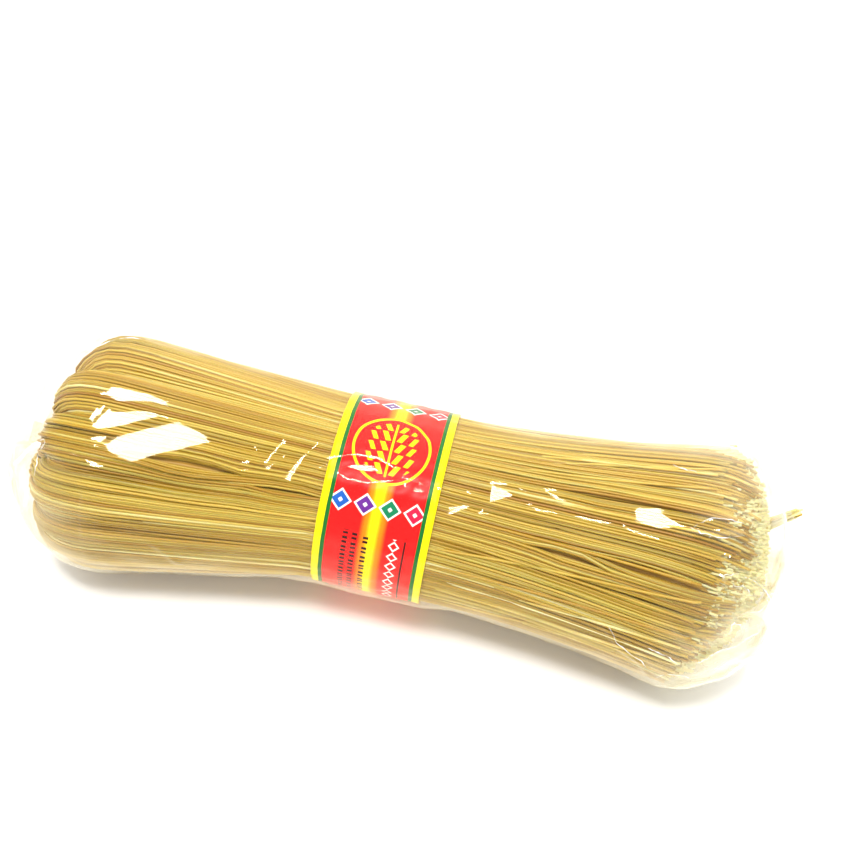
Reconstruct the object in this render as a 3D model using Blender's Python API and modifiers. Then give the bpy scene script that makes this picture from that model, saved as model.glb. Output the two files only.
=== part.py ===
"""Pack of dried vermicelli: a waisted bundle of straight strands in a clear bag, held by a paper band.

Metres, +Z up. +X runs from the folded end of the strands to their cut end. The pack lies on its
side, and its origin is on the surface it rests on, under the middle of its outline.
"""

import math
import random

import bmesh
import bpy
from mathutils import Vector

# Driving sizes of the bundle, measured from the middle of the paper band.
WAIST_RADIUS = 0.0310
FOLD_RADIUS = 0.0403
CUT_RADIUS = 0.0406
WAIST_HALF = 0.0195
FOLD_SHOULDER = 0.0900
CUT_SHOULDER = 0.1010
FOLD_DOME = 0.0285
CUT_DOME = 0.0260
FOLD_FLARE_POWER = 1.0
CUT_FLARE_POWER = 1.7
FOLD_DOME_POWER = 2.2
CUT_DOME_POWER = 1.7
RIDGE_HALF = 0.0190
RIDGE_TILT = math.radians(-32)
SIDE_BEND = 0.0060
REST_FLAT = 0.0024

# Hanks of strands. Each hung over the drying rod in an arch, so they turn over a ridge and
# not over a point.
HANKS = 14
HANK_UNEVENNESS = 0.55
STEPS_PER_HANK = 4
FLARE_STEPS = 4
END_STEPS = 60
HANK_TWIST = 0.10
FOLD_GROOVE = 0.0034
CUT_GROOVE = 0.0016
WAIST_GROOVE = 0.0003
HANK_RISE = 0.0016
GROOVE_SHARPNESS = 4

# On the folded end each outer hank turns inward in a lobe of its own, and the folds of the inner
# hanks stand in the middle, inside a round furrow. Its place and width are shares of the radius.
LOBE_GROOVE = 0.0027
FURROW_DEPTH = 0.0030
FURROW_PLACE = 0.52
FURROW_HALF = 0.13
INNER_HANKS = 7
INNER_GROOVE = 0.0022

# Strands at true size, and the short ends that stand out of the cut face.
STRAND_DIAMETER = 0.0010
STRAND_CLEARANCE = 0.0008
STRANDS = 24
STRAND_LIFT = 0.00022
STRAND_DRIFT = 0.16
STRAND_WAVE = (0.01, 0.04)
STRAND_START = (1.10, 1.19)
STRAND_END = (1.60, 1.75)
TIPS = 26
TIP_LENGTH = 0.0055
TIP_ROOT = 0.0040
TIP_SPREAD = 0.72
TIP_LEAN = 6.0

# A bunch of strands that is bent out of the cut end, from its root inside the bundle to its tip.
BUNCH_ROOT = (0.1060, 0.0045, 0.0030)
BUNCH_TIP = (0.1295, 0.0175, 0.0145)
BUNCH_DIAMETER = 0.0036

# Film that stands loose from the lower side of the cut end.
LOOSE_FILM = 0.0055
LOOSE_PLACE = math.radians(217)
LOOSE_FROM = 1.25
LOOSE_FULL = 1.70

# Film gathered flat beyond both ends of the bundle.
FILM_THICKNESS = 0.0006
FILM_HALF_WIDTH = 0.0335
FILM_FOLD_REACH = 0.0062
FILM_CUT_REACH = 0.0045
FILM_ROOT = 0.0070
FILM_WAVE = 0.0022
FILM_EDGE_RAGGED = 0.25
FILM_PLEATS = 12

# Paper band round the waist, one turn with a glued lap.
BAND_WIDTH = 0.0365
BAND_RADIUS = 0.0324
BAND_THICKNESS = 0.0004
BAND_LAP = math.radians(24)
BAND_LAP_GAP = 0.0003
BAND_START = math.radians(-100)
BAND_STEPS = 84

SEED = 11
FULL_TURN = 2 * math.pi
STRAND_COLOUR = (0.62, 0.40, 0.10, 1.0)
PAPER_COLOUR = (0.80, 0.02, 0.02, 1.0)

draw = random.Random(SEED)


def clear_scene():
    for obj in list(bpy.data.objects):
        bpy.data.objects.remove(obj, do_unlink=True)


def make_material(name, colour, roughness):
    material = bpy.data.materials.new(name)
    material.use_nodes = True
    shader = material.node_tree.nodes["Principled BSDF"]
    shader.inputs["Base Color"].default_value = colour
    shader.inputs["Roughness"].default_value = roughness
    shader.inputs["Metallic"].default_value = 0.0
    return material


def add_object(name, mesh, collection, material):
    obj = bpy.data.objects.new(name, mesh)
    obj.data.materials.append(material)
    collection.objects.link(obj)
    return obj


def make_hanks():
    """(start angle, end angle, rise) of each hank, once round the bundle."""
    widths = [1 + HANK_UNEVENNESS * (2 * draw.random() - 1) for _ in range(HANKS)]
    hanks = []
    angle = 0.0
    for width in widths:
        end = angle + FULL_TURN * width / sum(widths)
        hanks.append((angle, end, HANK_RISE * draw.uniform(-1, 1)))
        angle = end
    return hanks


HANK_LIST = make_hanks()


def hank_at(angle):
    """The hank at an angle, and how far across it the angle lies, from -1 to 1."""
    angle %= FULL_TURN
    for start, end, rise in HANK_LIST:
        if angle <= end:
            return rise, 2 * (angle - start) / (end - start) - 1
    return HANK_LIST[-1][2], 1.0


def trunk_radius(x):
    """Radius between the shoulders: straight under the band, flaring to each end."""
    if x < 0:
        share = max(0.0, -x - WAIST_HALF) / (FOLD_SHOULDER - WAIST_HALF)
        return WAIST_RADIUS + (FOLD_RADIUS - WAIST_RADIUS) * share**FOLD_FLARE_POWER
    share = max(0.0, x - WAIST_HALF) / (CUT_SHOULDER - WAIST_HALF)
    return WAIST_RADIUS + (CUT_RADIUS - WAIST_RADIUS) * share**CUT_FLARE_POWER


def profile(u):
    """(x, radius) on the outline: u -2 to -1 folded end, -1 to 1 trunk, 1 to 2 cut end."""
    if abs(u) <= 1:
        x = (CUT_SHOULDER + FOLD_SHOULDER) * (u + 1) / 2 - FOLD_SHOULDER
        return x, trunk_radius(x)
    turn = min(abs(u) - 1, 1) * math.pi / 2
    power = FOLD_DOME_POWER if u < 0 else CUT_DOME_POWER
    out = math.sin(turn) ** (2 / power)
    in_share = max(math.cos(turn), 0.0) ** (2 / power)
    if u < 0:
        return -FOLD_SHOULDER - FOLD_DOME * out, FOLD_RADIUS * in_share
    return CUT_SHOULDER + CUT_DOME * out, CUT_RADIUS * in_share


def profile_normal(u):
    """Outward direction (along x, outward) of the outline at u."""
    step = 0.02
    x_back, r_back = profile(max(u - step, -2))
    x_on, r_on = profile(min(u + step, 2))
    length = math.hypot(x_on - x_back, r_on - r_back)
    return -(r_on - r_back) / length, (x_on - x_back) / length


def groove_depth(u, x):
    if x < 0:
        share = max(0.0, -x - WAIST_HALF) / (FOLD_SHOULDER - WAIST_HALF)
        depth = WAIST_GROOVE + (FOLD_GROOVE - WAIST_GROOVE) * min(share, 1)
    else:
        share = max(0.0, x - WAIST_HALF) / (CUT_SHOULDER - WAIST_HALF)
        depth = WAIST_GROOVE + (CUT_GROOVE - WAIST_GROOVE) * min(share, 1)
    return depth, min(share, 1) * (1 if abs(u) <= 1 else 2 - min(abs(u), 2))


def fold_relief(u, angle, radius, across):
    """Depth of the furrow and the grooves between the lobes on the folded end."""
    if u > -1:
        return 0.0
    share = radius / FOLD_RADIUS
    furrow = FURROW_DEPTH * math.exp(-(((share - FURROW_PLACE) / FURROW_HALF) ** 2))
    if share > FURROW_PLACE:
        rounding = (1 - share) / (1 - FURROW_PLACE)
        return furrow + LOBE_GROOVE * rounding * abs(across) ** GROOVE_SHARPNESS
    place = angle * INNER_HANKS / FULL_TURN + 0.5
    inner = 2 * (place - math.floor(place)) - 1
    return furrow + INNER_GROOVE * share / FURROW_PLACE * abs(inner) ** GROOVE_SHARPNESS


def loose_film(u, angle):
    """How far the bag stands off the lower side of the cut end."""
    share = min(max((u - LOOSE_FROM) / (LOOSE_FULL - LOOSE_FROM), 0.0), 1.0)
    return LOOSE_FILM * share * share * (3 - 2 * share) * (1 + math.cos(angle - LOOSE_PLACE)) / 2


def ridge_spread(u, radius):
    """How far the folded end is drawn out along the ridge that its arches turn over."""
    return RIDGE_HALF * (1 - radius / FOLD_RADIUS) if u < -1 else 0.0


def skin_point(u, angle, lift=0.0):
    """A point on the bundle's surface, raised by lift along the outline's normal."""
    x, radius = profile(u)
    out_x, out_r = profile_normal(u)
    rise, across = hank_at(angle - HANK_TWIST * u)
    depth, rise_share = groove_depth(u, x)
    height = rise * rise_share - depth * abs(across) ** GROOVE_SHARPNESS + lift
    height -= fold_relief(u, angle, radius, across)
    x += out_x * height
    radius = max(radius + out_r * height, 0.0)
    bend = SIDE_BEND * max(0.0, -x - WAIST_HALF) / (FOLD_SHOULDER - WAIST_HALF)
    spread = ridge_spread(u, radius) * math.cos(angle - RIDGE_TILT)
    y = radius * math.cos(angle) + spread * math.cos(RIDGE_TILT) - bend
    z = radius * math.sin(angle) + spread * math.sin(RIDGE_TILT)
    return Vector((x, y, z))


REST_HEIGHT = min(FOLD_RADIUS, CUT_RADIUS) - REST_FLAT


def on_rest(point):
    """Keeps a strand's middle line clear of the flat that the pack lies on."""
    return Vector((point.x, point.y, max(point.z, STRAND_CLEARANCE - REST_HEIGHT)))


def cut_flat(shape):
    """Levels the underside of both flares, which the pack's own weight flattens."""
    geometry = shape.verts[:] + shape.edges[:] + shape.faces[:]
    cut = bmesh.ops.bisect_plane(
        shape, geom=geometry, dist=1e-6, clear_outer=True,
        plane_co=(0.0, 0.0, -REST_HEIGHT), plane_no=(0.0, 0.0, -1.0),
    )
    rim = [item for item in cut["geom_cut"] if isinstance(item, bmesh.types.BMEdge)]
    bmesh.ops.holes_fill(shape, edges=rim, sides=0)


def loft_mesh(name, rings):
    """A closed skin over rings of equal length, with a point at each end, flat underneath."""
    shape = bmesh.new()
    loops = [[shape.verts.new(p) for p in ring] for ring in rings]
    count = len(loops[0])
    for near, far in zip(loops, loops[1:]):
        for i in range(count):
            j = (i + 1) % count
            shape.faces.new((near[i], far[i], far[j], near[j]))
    for loop in (loops[0], loops[-1]):
        pole = shape.verts.new(sum((v.co for v in loop), Vector()) / count)
        for i in range(count):
            shape.faces.new((loop[i], loop[(i + 1) % count], pole))
    bmesh.ops.triangulate(shape, faces=shape.faces)
    cut_flat(shape)
    bmesh.ops.triangulate(shape, faces=shape.faces)
    bmesh.ops.recalc_face_normals(shape, faces=shape.faces)
    mesh = bpy.data.meshes.new(name)
    shape.to_mesh(mesh)
    shape.free()
    return mesh


def bundle_stations():
    """Where the core's rings lie along the outline, closer together on the rounded ends."""
    fold_end = [-1.94, -1.82, -1.70, -1.56, -1.38, -1.17]
    cut_end = [1.20, 1.50, 1.80]
    fold_side = []
    cut_side = []
    for i in range(FLARE_STEPS + 1):
        share = i / FLARE_STEPS
        fold_side.append(-FOLD_SHOULDER + (FOLD_SHOULDER - WAIST_HALF) * share)
        cut_side.append(WAIST_HALF + (CUT_SHOULDER - WAIST_HALF) * share)
    span = CUT_SHOULDER + FOLD_SHOULDER
    trunk = [2 * (x + FOLD_SHOULDER) / span - 1 for x in fold_side + cut_side]
    return fold_end + trunk + cut_end


def hank_angles(u):
    """Ring angles that put a corner in every groove between two hanks."""
    angles = []
    for start, end, _ in HANK_LIST:
        for step in range(STEPS_PER_HANK):
            angles.append(start + (end - start) * step / STEPS_PER_HANK + HANK_TWIST * u)
    return angles


def build_core(collection, material):
    rings = []
    for u in bundle_stations():
        rings.append([skin_point(u, angle, loose_film(u, angle)) for angle in hank_angles(u)])
    return add_object("bagged_vermicelli", loft_mesh("bundle_core", rings), collection, material)


def mesh_from_curve(name, paths, diameter, collection, material):
    """One mesh object for each path, as a four-sided tube with welded caps."""
    made = []
    for index, path in enumerate(paths):
        curve = bpy.data.curves.new(f"{name}_{index:02d}", "CURVE")
        curve.dimensions = "3D"
        curve.bevel_depth = diameter / 2
        curve.bevel_resolution = 0
        curve.use_fill_caps = True
        spline = curve.splines.new("POLY")
        spline.points.add(len(path) - 1)
        for point, place in zip(spline.points, path):
            point.co = (*place, 1.0)
        guide = bpy.data.objects.new(f"{name}_guide_{index:02d}", curve)
        collection.objects.link(guide)
        bpy.context.view_layer.update()
        graph = bpy.context.evaluated_depsgraph_get()
        mesh = bpy.data.meshes.new_from_object(guide.evaluated_get(graph))
        bpy.data.objects.remove(guide, do_unlink=True)
        shape = bmesh.new()
        shape.from_mesh(mesh)
        bmesh.ops.remove_doubles(shape, verts=shape.verts, dist=0.00002)
        bmesh.ops.recalc_face_normals(shape, faces=shape.faces)
        shape.to_mesh(mesh)
        shape.free()
        made.append(add_object(f"{name}_{index:02d}", mesh, collection, material))
    return made


def strand_path(angle):
    """From beyond the cut face, along the trunk, over the folded end and down into it."""
    drift = draw.uniform(-STRAND_DRIFT, STRAND_DRIFT)
    wave = draw.uniform(*STRAND_WAVE)
    phase = draw.uniform(0, FULL_TURN)
    first = draw.uniform(*STRAND_START)
    last = -draw.uniform(*STRAND_END)
    between = [u for u in reversed(bundle_stations()) if last < u < first]
    path = []
    for u in [first, *between, last]:
        turn = angle + HANK_TWIST * u + drift * (u + 0.3) / 2 + wave * math.sin(3 * u + phase)
        path.append(on_rest(skin_point(u, turn, STRAND_LIFT)))
    tip = path[0] + (path[0] - path[2]).normalized() * TIP_LENGTH * draw.uniform(0.5, 1.0)
    return [on_rest(tip)] + path


def build_strands(collection, material):
    spread = FULL_TURN / STRANDS
    paths = [strand_path((i + draw.uniform(0.25, 0.75)) * spread) for i in range(STRANDS)]
    return mesh_from_curve("strand", paths, STRAND_DIAMETER, collection, material)


def build_tips(collection, material):
    """Cut ends of strands from inside the bundle, spread over the cut face."""
    golden_turn = math.pi * (3 - math.sqrt(5))
    paths = []
    for i in range(TIPS):
        u = 2 - TIP_SPREAD * math.sqrt((i + 0.5) / TIPS)
        root = skin_point(u, i * golden_turn, -TIP_ROOT)
        lean = Vector((1.0, root.y * TIP_LEAN, root.z * TIP_LEAN)).normalized()
        end = root + lean * (TIP_ROOT + TIP_LENGTH * draw.uniform(0.35, 0.95))
        paths.append([root, on_rest(end)])
    return mesh_from_curve("tip", paths, STRAND_DIAMETER, collection, material)


def build_bunch(collection, material):
    """The bent-out bunch, whose strands lie too close together to tell apart."""
    path = [Vector(BUNCH_ROOT), Vector(BUNCH_TIP)]
    return mesh_from_curve("bunch", [path], BUNCH_DIAMETER, collection, material)


def end_x(distance, side):
    """x of a rounded end at a distance from the axis along the ridge; side -1 folded, 1 cut."""
    steps = []
    for i in range(END_STEPS + 1):
        u = side * (1 + i / END_STEPS)
        x, radius = profile(u)
        steps.append((abs(radius + ridge_spread(u, radius) - distance), x))
    return min(steps)[1]


def build_film_end(side, collection, material):
    """The bag's gathered, sealed film: a wavy strip that follows the rounded end."""
    across_steps = 30
    out_steps = 2
    phase = draw.uniform(0, FULL_TURN)
    shape = bmesh.new()
    rows = []
    for i in range(across_steps + 1):
        share = 2 * i / across_steps - 1
        distance = share * FILM_HALF_WIDTH
        root_x = end_x(abs(distance), side) - side * FILM_ROOT
        ragged = 1 + FILM_EDGE_RAGGED * math.sin(FILM_PLEATS / 2 * share + phase)
        reach = FILM_ROOT + (FILM_FOLD_REACH if side < 0 else FILM_CUT_REACH) * ragged
        row = []
        for j in range(out_steps + 1):
            out = j / out_steps
            wave = FILM_WAVE * math.sin(FILM_PLEATS * share + phase) * (0.4 + 0.6 * out)
            wave += FILM_WAVE / 3 * math.sin(2.3 * FILM_PLEATS * share) * out
            y = distance * math.cos(RIDGE_TILT) - wave * math.sin(RIDGE_TILT)
            z = distance * math.sin(RIDGE_TILT) + wave * math.cos(RIDGE_TILT)
            bend = SIDE_BEND if side < 0 else 0.0
            row.append(shape.verts.new((root_x + side * reach * out, y - bend, z)))
        rows.append(row)
    for near, far in zip(rows, rows[1:]):
        for j in range(out_steps):
            shape.faces.new((near[j], near[j + 1], far[j + 1], far[j]))
    name = "film_fold_end" if side < 0 else "film_cut_end"
    mesh = bpy.data.meshes.new(name)
    shape.to_mesh(mesh)
    shape.free()
    obj = add_object(name, mesh, collection, material)
    solidify = obj.modifiers.new("film", "SOLIDIFY")
    solidify.thickness = FILM_THICKNESS
    solidify.offset = 0
    return obj


def islands(shape):
    """The mesh's separate skins, each a list of faces."""
    left = set(shape.faces)
    found = []
    while left:
        skin = []
        front = [left.pop()]
        while front:
            face = front.pop()
            skin.append(face)
            for edge in face.edges:
                for other in edge.link_faces:
                    if other in left:
                        left.remove(other)
                        front.append(other)
        found.append(skin)
    return found


def keep_largest_skin(mesh):
    """Fills sealed hollows and drops loose scraps, which fusing leaves as skins of their own."""
    shape = bmesh.new()
    shape.from_mesh(mesh)
    skins = sorted(islands(shape), key=len)
    for skin in skins[:-1]:
        bmesh.ops.delete(shape, geom=skin, context="FACES")
    shape.to_mesh(mesh)
    shape.free()


def fuse(body, joined):
    """Makes one solid of body and everything in the collection, which is then removed."""
    union = body.modifiers.new("fuse", "BOOLEAN")
    union.operation = "UNION"
    union.operand_type = "COLLECTION"
    union.collection = joined
    union.solver = "MANIFOLD"
    bpy.context.view_layer.update()
    graph = bpy.context.evaluated_depsgraph_get()
    mesh = bpy.data.meshes.new_from_object(body.evaluated_get(graph))
    body.modifiers.clear()
    keep_largest_skin(mesh)
    body.data = mesh
    for obj in list(joined.objects):
        bpy.data.objects.remove(obj, do_unlink=True)
    bpy.data.collections.remove(joined)


def build_band(collection, material):
    """The printed paper strip, wound once round the waist with its end glued over its start."""
    ramp = BAND_LAP / 2
    turn = FULL_TURN + BAND_LAP
    shape = bmesh.new()
    rows = []
    for i in range(BAND_STEPS + 1):
        swept = turn * i / BAND_STEPS
        climb = min(max((swept - FULL_TURN + ramp) / ramp, 0.0), 1.0)
        radius = BAND_RADIUS + climb * (BAND_THICKNESS + BAND_LAP_GAP)
        angle = BAND_START + swept
        y = radius * math.cos(angle)
        z = radius * math.sin(angle)
        rows.append([shape.verts.new((x, y, z)) for x in (-BAND_WIDTH / 2, 0.0, BAND_WIDTH / 2)])
    for near, far in zip(rows, rows[1:]):
        for j in range(2):
            shape.faces.new((near[j], near[j + 1], far[j + 1], far[j]))
    bmesh.ops.recalc_face_normals(shape, faces=shape.faces)
    mesh = bpy.data.meshes.new("paper_band")
    shape.to_mesh(mesh)
    shape.free()
    obj = add_object("paper_band", mesh, collection, material)
    solidify = obj.modifiers.new("paper", "SOLIDIFY")
    solidify.thickness = BAND_THICKNESS
    solidify.offset = 0
    return obj


def stand_on_origin(objects):
    """Moves the pack so that it rests at z 0 with its outline centred on the origin."""
    bpy.context.view_layer.update()
    graph = bpy.context.evaluated_depsgraph_get()
    corners = [
        obj.matrix_world @ Vector(corner)
        for obj in objects
        for corner in obj.evaluated_get(graph).bound_box
    ]
    low = Vector([min(c[i] for c in corners) for i in range(3)])
    high = Vector([max(c[i] for c in corners) for i in range(3)])
    shift = Vector((-(low.x + high.x) / 2, -(low.y + high.y) / 2, -low.z))
    for obj in objects:
        obj.location += shift


def main():
    clear_scene()
    pack = bpy.data.collections.new("vermicelli_pack")
    joined = bpy.data.collections.new("fused_strands")
    bpy.context.scene.collection.children.link(pack)
    bpy.context.scene.collection.children.link(joined)
    strands = make_material("dried_starch", STRAND_COLOUR, 0.45)
    paper = make_material("printed_paper", PAPER_COLOUR, 0.35)
    core = build_core(pack, strands)
    build_strands(joined, strands)
    build_tips(joined, strands)
    build_bunch(joined, strands)
    build_film_end(-1, joined, strands)
    build_film_end(1, joined, strands)
    fuse(core, joined)
    band = build_band(pack, paper)
    stand_on_origin([core, band])


main()
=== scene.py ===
"""Looks of a pack of dried vermicelli: its strands, printed paper band and clear bag.

Metres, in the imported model's own frame: +Z up, +X from the folded end to the cut end.
"""

import math
import random

import bpy
import numpy as np
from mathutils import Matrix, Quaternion, Vector


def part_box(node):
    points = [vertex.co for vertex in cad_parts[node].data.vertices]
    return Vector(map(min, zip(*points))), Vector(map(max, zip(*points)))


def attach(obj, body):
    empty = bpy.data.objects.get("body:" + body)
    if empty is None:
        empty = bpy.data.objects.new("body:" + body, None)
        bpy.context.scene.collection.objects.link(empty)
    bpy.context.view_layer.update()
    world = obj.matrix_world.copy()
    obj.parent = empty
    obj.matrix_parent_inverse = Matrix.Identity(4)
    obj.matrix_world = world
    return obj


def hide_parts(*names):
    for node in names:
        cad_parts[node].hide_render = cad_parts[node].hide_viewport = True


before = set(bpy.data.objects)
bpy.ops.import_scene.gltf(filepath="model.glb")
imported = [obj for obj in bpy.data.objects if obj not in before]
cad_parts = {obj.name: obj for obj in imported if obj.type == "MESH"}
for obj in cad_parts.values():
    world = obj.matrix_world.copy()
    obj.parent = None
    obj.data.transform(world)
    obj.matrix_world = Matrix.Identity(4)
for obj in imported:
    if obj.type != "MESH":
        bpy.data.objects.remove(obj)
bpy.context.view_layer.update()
bpy.ops.object.select_all(action="DESELECT")


# Inner strand mass
# Hundreds of straight strands of dried starch, hung in hanks over a drying rod and squeezed to
# a waist by the band. What lies too deep to tell apart is one ribbed amber mass.

WAIST_RADIUS = 0.0310
FOLD_RADIUS = 0.0403
CUT_RADIUS = 0.0406
WAIST_HALF = 0.0195
FOLD_SHOULDER = 0.0900
CUT_SHOULDER = 0.1010
FOLD_DOME = 0.0285
CUT_DOME = 0.0268
CUT_FLARE_POWER = 1.7
FOLD_DOME_POWER = 2.2
CUT_DOME_POWER = 1.7
CUT_EDGE_RISE = 0.0068
CUT_EDGE_EVEN = 0.25
CUT_EDGE_PLACE = math.radians(42)
RIDGE_HALF = 0.0190
RIDGE_TILT = math.radians(-32)
SIDE_BEND = 0.0060
HANKS = 14
HANK_UNEVENNESS = 0.55
HANK_RISE = 0.0016
HANK_TWIST = 0.10
HANK_SEED = 11
FOLD_GROOVE = 0.0034
CUT_GROOVE = 0.0016
WAIST_GROOVE = 0.0003
GROOVE_SHARPNESS = 4
RIDGE_FADE = 0.30
BAND_OUTER_RADIUS = 0.0326
SLOPE_STEP = 0.02
SEAM_MERGE = 0.00002
FULL_TURN = 2 * math.pi

band_low, band_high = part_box("paper_band")
axis_place = np.array((
    (band_low.x + band_high.x) / 2,
    (band_low.y + band_high.y) / 2,
    band_high.z - BAND_OUTER_RADIUS,
))

hank_draw = random.Random(HANK_SEED)
hank_widths = [1 + HANK_UNEVENNESS * (2 * hank_draw.random() - 1) for _ in range(HANKS)]
hank_rises = np.array([HANK_RISE * hank_draw.uniform(-1, 1) for _ in range(HANKS)])
hank_edges = np.concatenate(([0.0], np.cumsum(hank_widths))) * FULL_TURN / sum(hank_widths)
hank_middles = (hank_edges[1:] + hank_edges[:-1]) / 2


def outline(u):
    """(x, radius) of the outline: u -2 to -1 folded end, -1 to 1 trunk, 1 to 2 cut end."""
    turn = np.clip(np.abs(u) - 1, 0, 1) * math.pi / 2
    power = np.where(u < 0, FOLD_DOME_POWER, CUT_DOME_POWER)
    out = np.sin(turn) ** (2 / power)
    inward = np.clip(np.cos(turn), 0, 1) ** (2 / power)
    x = (CUT_SHOULDER + FOLD_SHOULDER) * (np.clip(u, -1, 1) + 1) / 2 - FOLD_SHOULDER
    fold_share, cut_share = flare_shares(x)
    radius = WAIST_RADIUS + (FOLD_RADIUS - WAIST_RADIUS) * fold_share
    radius = radius + (CUT_RADIUS - WAIST_RADIUS) * cut_share**CUT_FLARE_POWER
    return x + np.where(u < 0, -FOLD_DOME, CUT_DOME) * out, radius * inward


def flare_shares(x):
    """How far towards each end's full width x is: 0 under the band, 1 from the shoulder on."""
    fold_share = np.clip((-x - WAIST_HALF) / (FOLD_SHOULDER - WAIST_HALF), 0, 1)
    cut_share = np.clip((x - WAIST_HALF) / (CUT_SHOULDER - WAIST_HALF), 0, 1)
    return fold_share, cut_share


def hank_relief(u, angle):
    """Height of the hanks: a rounded back each, and a groove between neighbours."""
    place = np.mod(angle - HANK_TWIST * u, FULL_TURN)
    index = np.clip(np.searchsorted(hank_edges, place) - 1, 0, HANKS - 1)
    start = hank_edges[index]
    across = 2 * (place - start) / (hank_edges[index + 1] - start) - 1
    fold_share, cut_share = flare_shares(outline(u)[0])
    groove = WAIST_GROOVE + (FOLD_GROOVE - WAIST_GROOVE) * fold_share
    groove = groove + (CUT_GROOVE - WAIST_GROOVE) * cut_share
    rise = hank_rises[index] * (fold_share + cut_share)
    fade = np.clip((2 - np.abs(u)) / RIDGE_FADE, 0, 1)
    return (rise - groove * np.abs(across) ** GROOVE_SHARPNESS) * fade


def toward(angle, place):
    """1 where an angle round the axis is at a place, falling to 0 a quarter turn away."""
    return np.clip(np.cos(angle - place), 0, 1)


def cut_edge(u, angle):
    """Rise of the rounded edge of the cut end, which is squarest on its upper side."""
    share = CUT_EDGE_EVEN + (1 - CUT_EDGE_EVEN) * toward(angle, CUT_EDGE_PLACE)
    return CUT_EDGE_RISE * share * np.sin(np.clip(u - 1, 0, 1) * math.pi) ** 2


def bundle_skin(u, angle, lift, relief=hank_relief):
    """Points on the bundle's surface, raised by lift along the outline's normal."""
    u, angle, lift = np.broadcast_arrays(u, angle, lift)
    x, radius = outline(u)
    x_on, radius_on = outline(np.minimum(u + SLOPE_STEP, 2))
    x_back, radius_back = outline(np.maximum(u - SLOPE_STEP, -2))
    length = np.hypot(x_on - x_back, radius_on - radius_back)
    height = relief(u, angle) + lift
    x = x - (radius_on - radius_back) / length * height
    radius = np.maximum(radius + (x_on - x_back) / length * height, 0) + cut_edge(u, angle)
    spread = np.where(u < -1, RIDGE_HALF * (1 - radius / FOLD_RADIUS), 0)
    spread = spread * np.cos(angle - RIDGE_TILT)
    bend = SIDE_BEND * np.clip(-x - WAIST_HALF, 0, None) / (FOLD_SHOULDER - WAIST_HALF)
    y = radius * np.cos(angle) + spread * math.cos(RIDGE_TILT) - bend
    z = radius * np.sin(angle) + spread * math.sin(RIDGE_TILT)
    return np.stack((x, y, z), axis=-1) + axis_place


def on_rest(points, clearance):
    """The pack's own weight flattens it on the surface that it lies on."""
    points = points.copy()
    points[..., 2] = np.maximum(points[..., 2], clearance)
    return points


def places_of(piece):
    """The places of a piece's points, one row each."""
    places = np.empty(len(piece.data.vertices) * 3)
    piece.data.vertices.foreach_get("co", places)
    return places.reshape(-1, 3)


def wrapped_grid(name, along, around, place, first_angle=RIDGE_TILT):
    """A flat grid wrapped round the bundle's axis by place(u share, angle), and sewn shut."""
    bpy.ops.mesh.primitive_grid_add(x_subdivisions=along, y_subdivisions=around, size=2)
    piece = bpy.context.object
    piece.name = name
    piece.data.name = name
    flat = places_of(piece)
    wrapped = place(flat[:, 0], first_angle + (flat[:, 1] + 1) * math.pi)
    piece.data.vertices.foreach_set("co", wrapped.ravel())
    piece.data.update()
    bpy.ops.object.mode_set(mode="EDIT")
    bpy.ops.mesh.select_all(action="SELECT")
    bpy.ops.mesh.remove_doubles(threshold=SEAM_MERGE)
    bpy.ops.mesh.normals_make_consistent(inside=False)
    bpy.ops.object.mode_set(mode="OBJECT")
    bpy.ops.object.shade_smooth()
    piece.select_set(False)
    return piece


def node_of(material, kind, **values):
    """A new node of a material or sky, with its settings set by name."""
    node = material.node_tree.nodes.new(kind)
    for key, value in values.items():
        setattr(node, key, value)
    return node


def join_nodes(material, *links):
    """Links nodes of a material or sky; a link is (from node, output, to node, input)."""
    for source, output, target, place in links:
        material.node_tree.links.new(source.outputs[output], target.inputs[place])


def new_material(name):
    """A material with a Principled shader, and that shader."""
    material = bpy.data.materials.new(name)
    material.use_nodes = True
    return material, material.node_tree.nodes["Principled BSDF"]


MASS_DEPTH = 0.0026
MASS_END_DEPTH = 0.0050
MASS_RIBS = 190
MASS_RIB_HEIGHT = 0.00025
MASS_COLOURS = ((0.45, 0.235, 0.012, 1), (0.58, 0.345, 0.030, 1))
MASS_STREAK_SCALE = (14, 420, 420)
MASS_ALONG = 90
MASS_CLEARANCE = 0.0020
MASS_END_RUN = 0.3
MASS_CUT_FROM = 0.85
MASS_CUT_RUN = 0.2
FOLD_RECESS = 0.0050
FOLD_RECESS_PLACE = math.radians(48)
CUT_RECESS = 0.0070
CUT_RECESS_PLACE = math.radians(222)


def mass_place(share, angle):
    """Points of the deep mass, sunk further where the strands stop short of the bag."""
    u = share * 2
    ribs = MASS_RIB_HEIGHT * np.cos(MASS_RIBS * (angle - HANK_TWIST * u))
    end_depth = MASS_END_DEPTH + FOLD_RECESS * toward(angle, FOLD_RECESS_PLACE)
    depth = MASS_DEPTH + end_depth * np.clip(-u - 1.0, 0, MASS_END_RUN) / MASS_END_RUN
    near_cut = np.clip((u - MASS_CUT_FROM) / MASS_CUT_RUN, 0, 1)
    depth = depth + CUT_RECESS * toward(angle, CUT_RECESS_PLACE) * near_cut
    return on_rest(bundle_skin(u, angle, ribs - depth), MASS_CLEARANCE)


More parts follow.
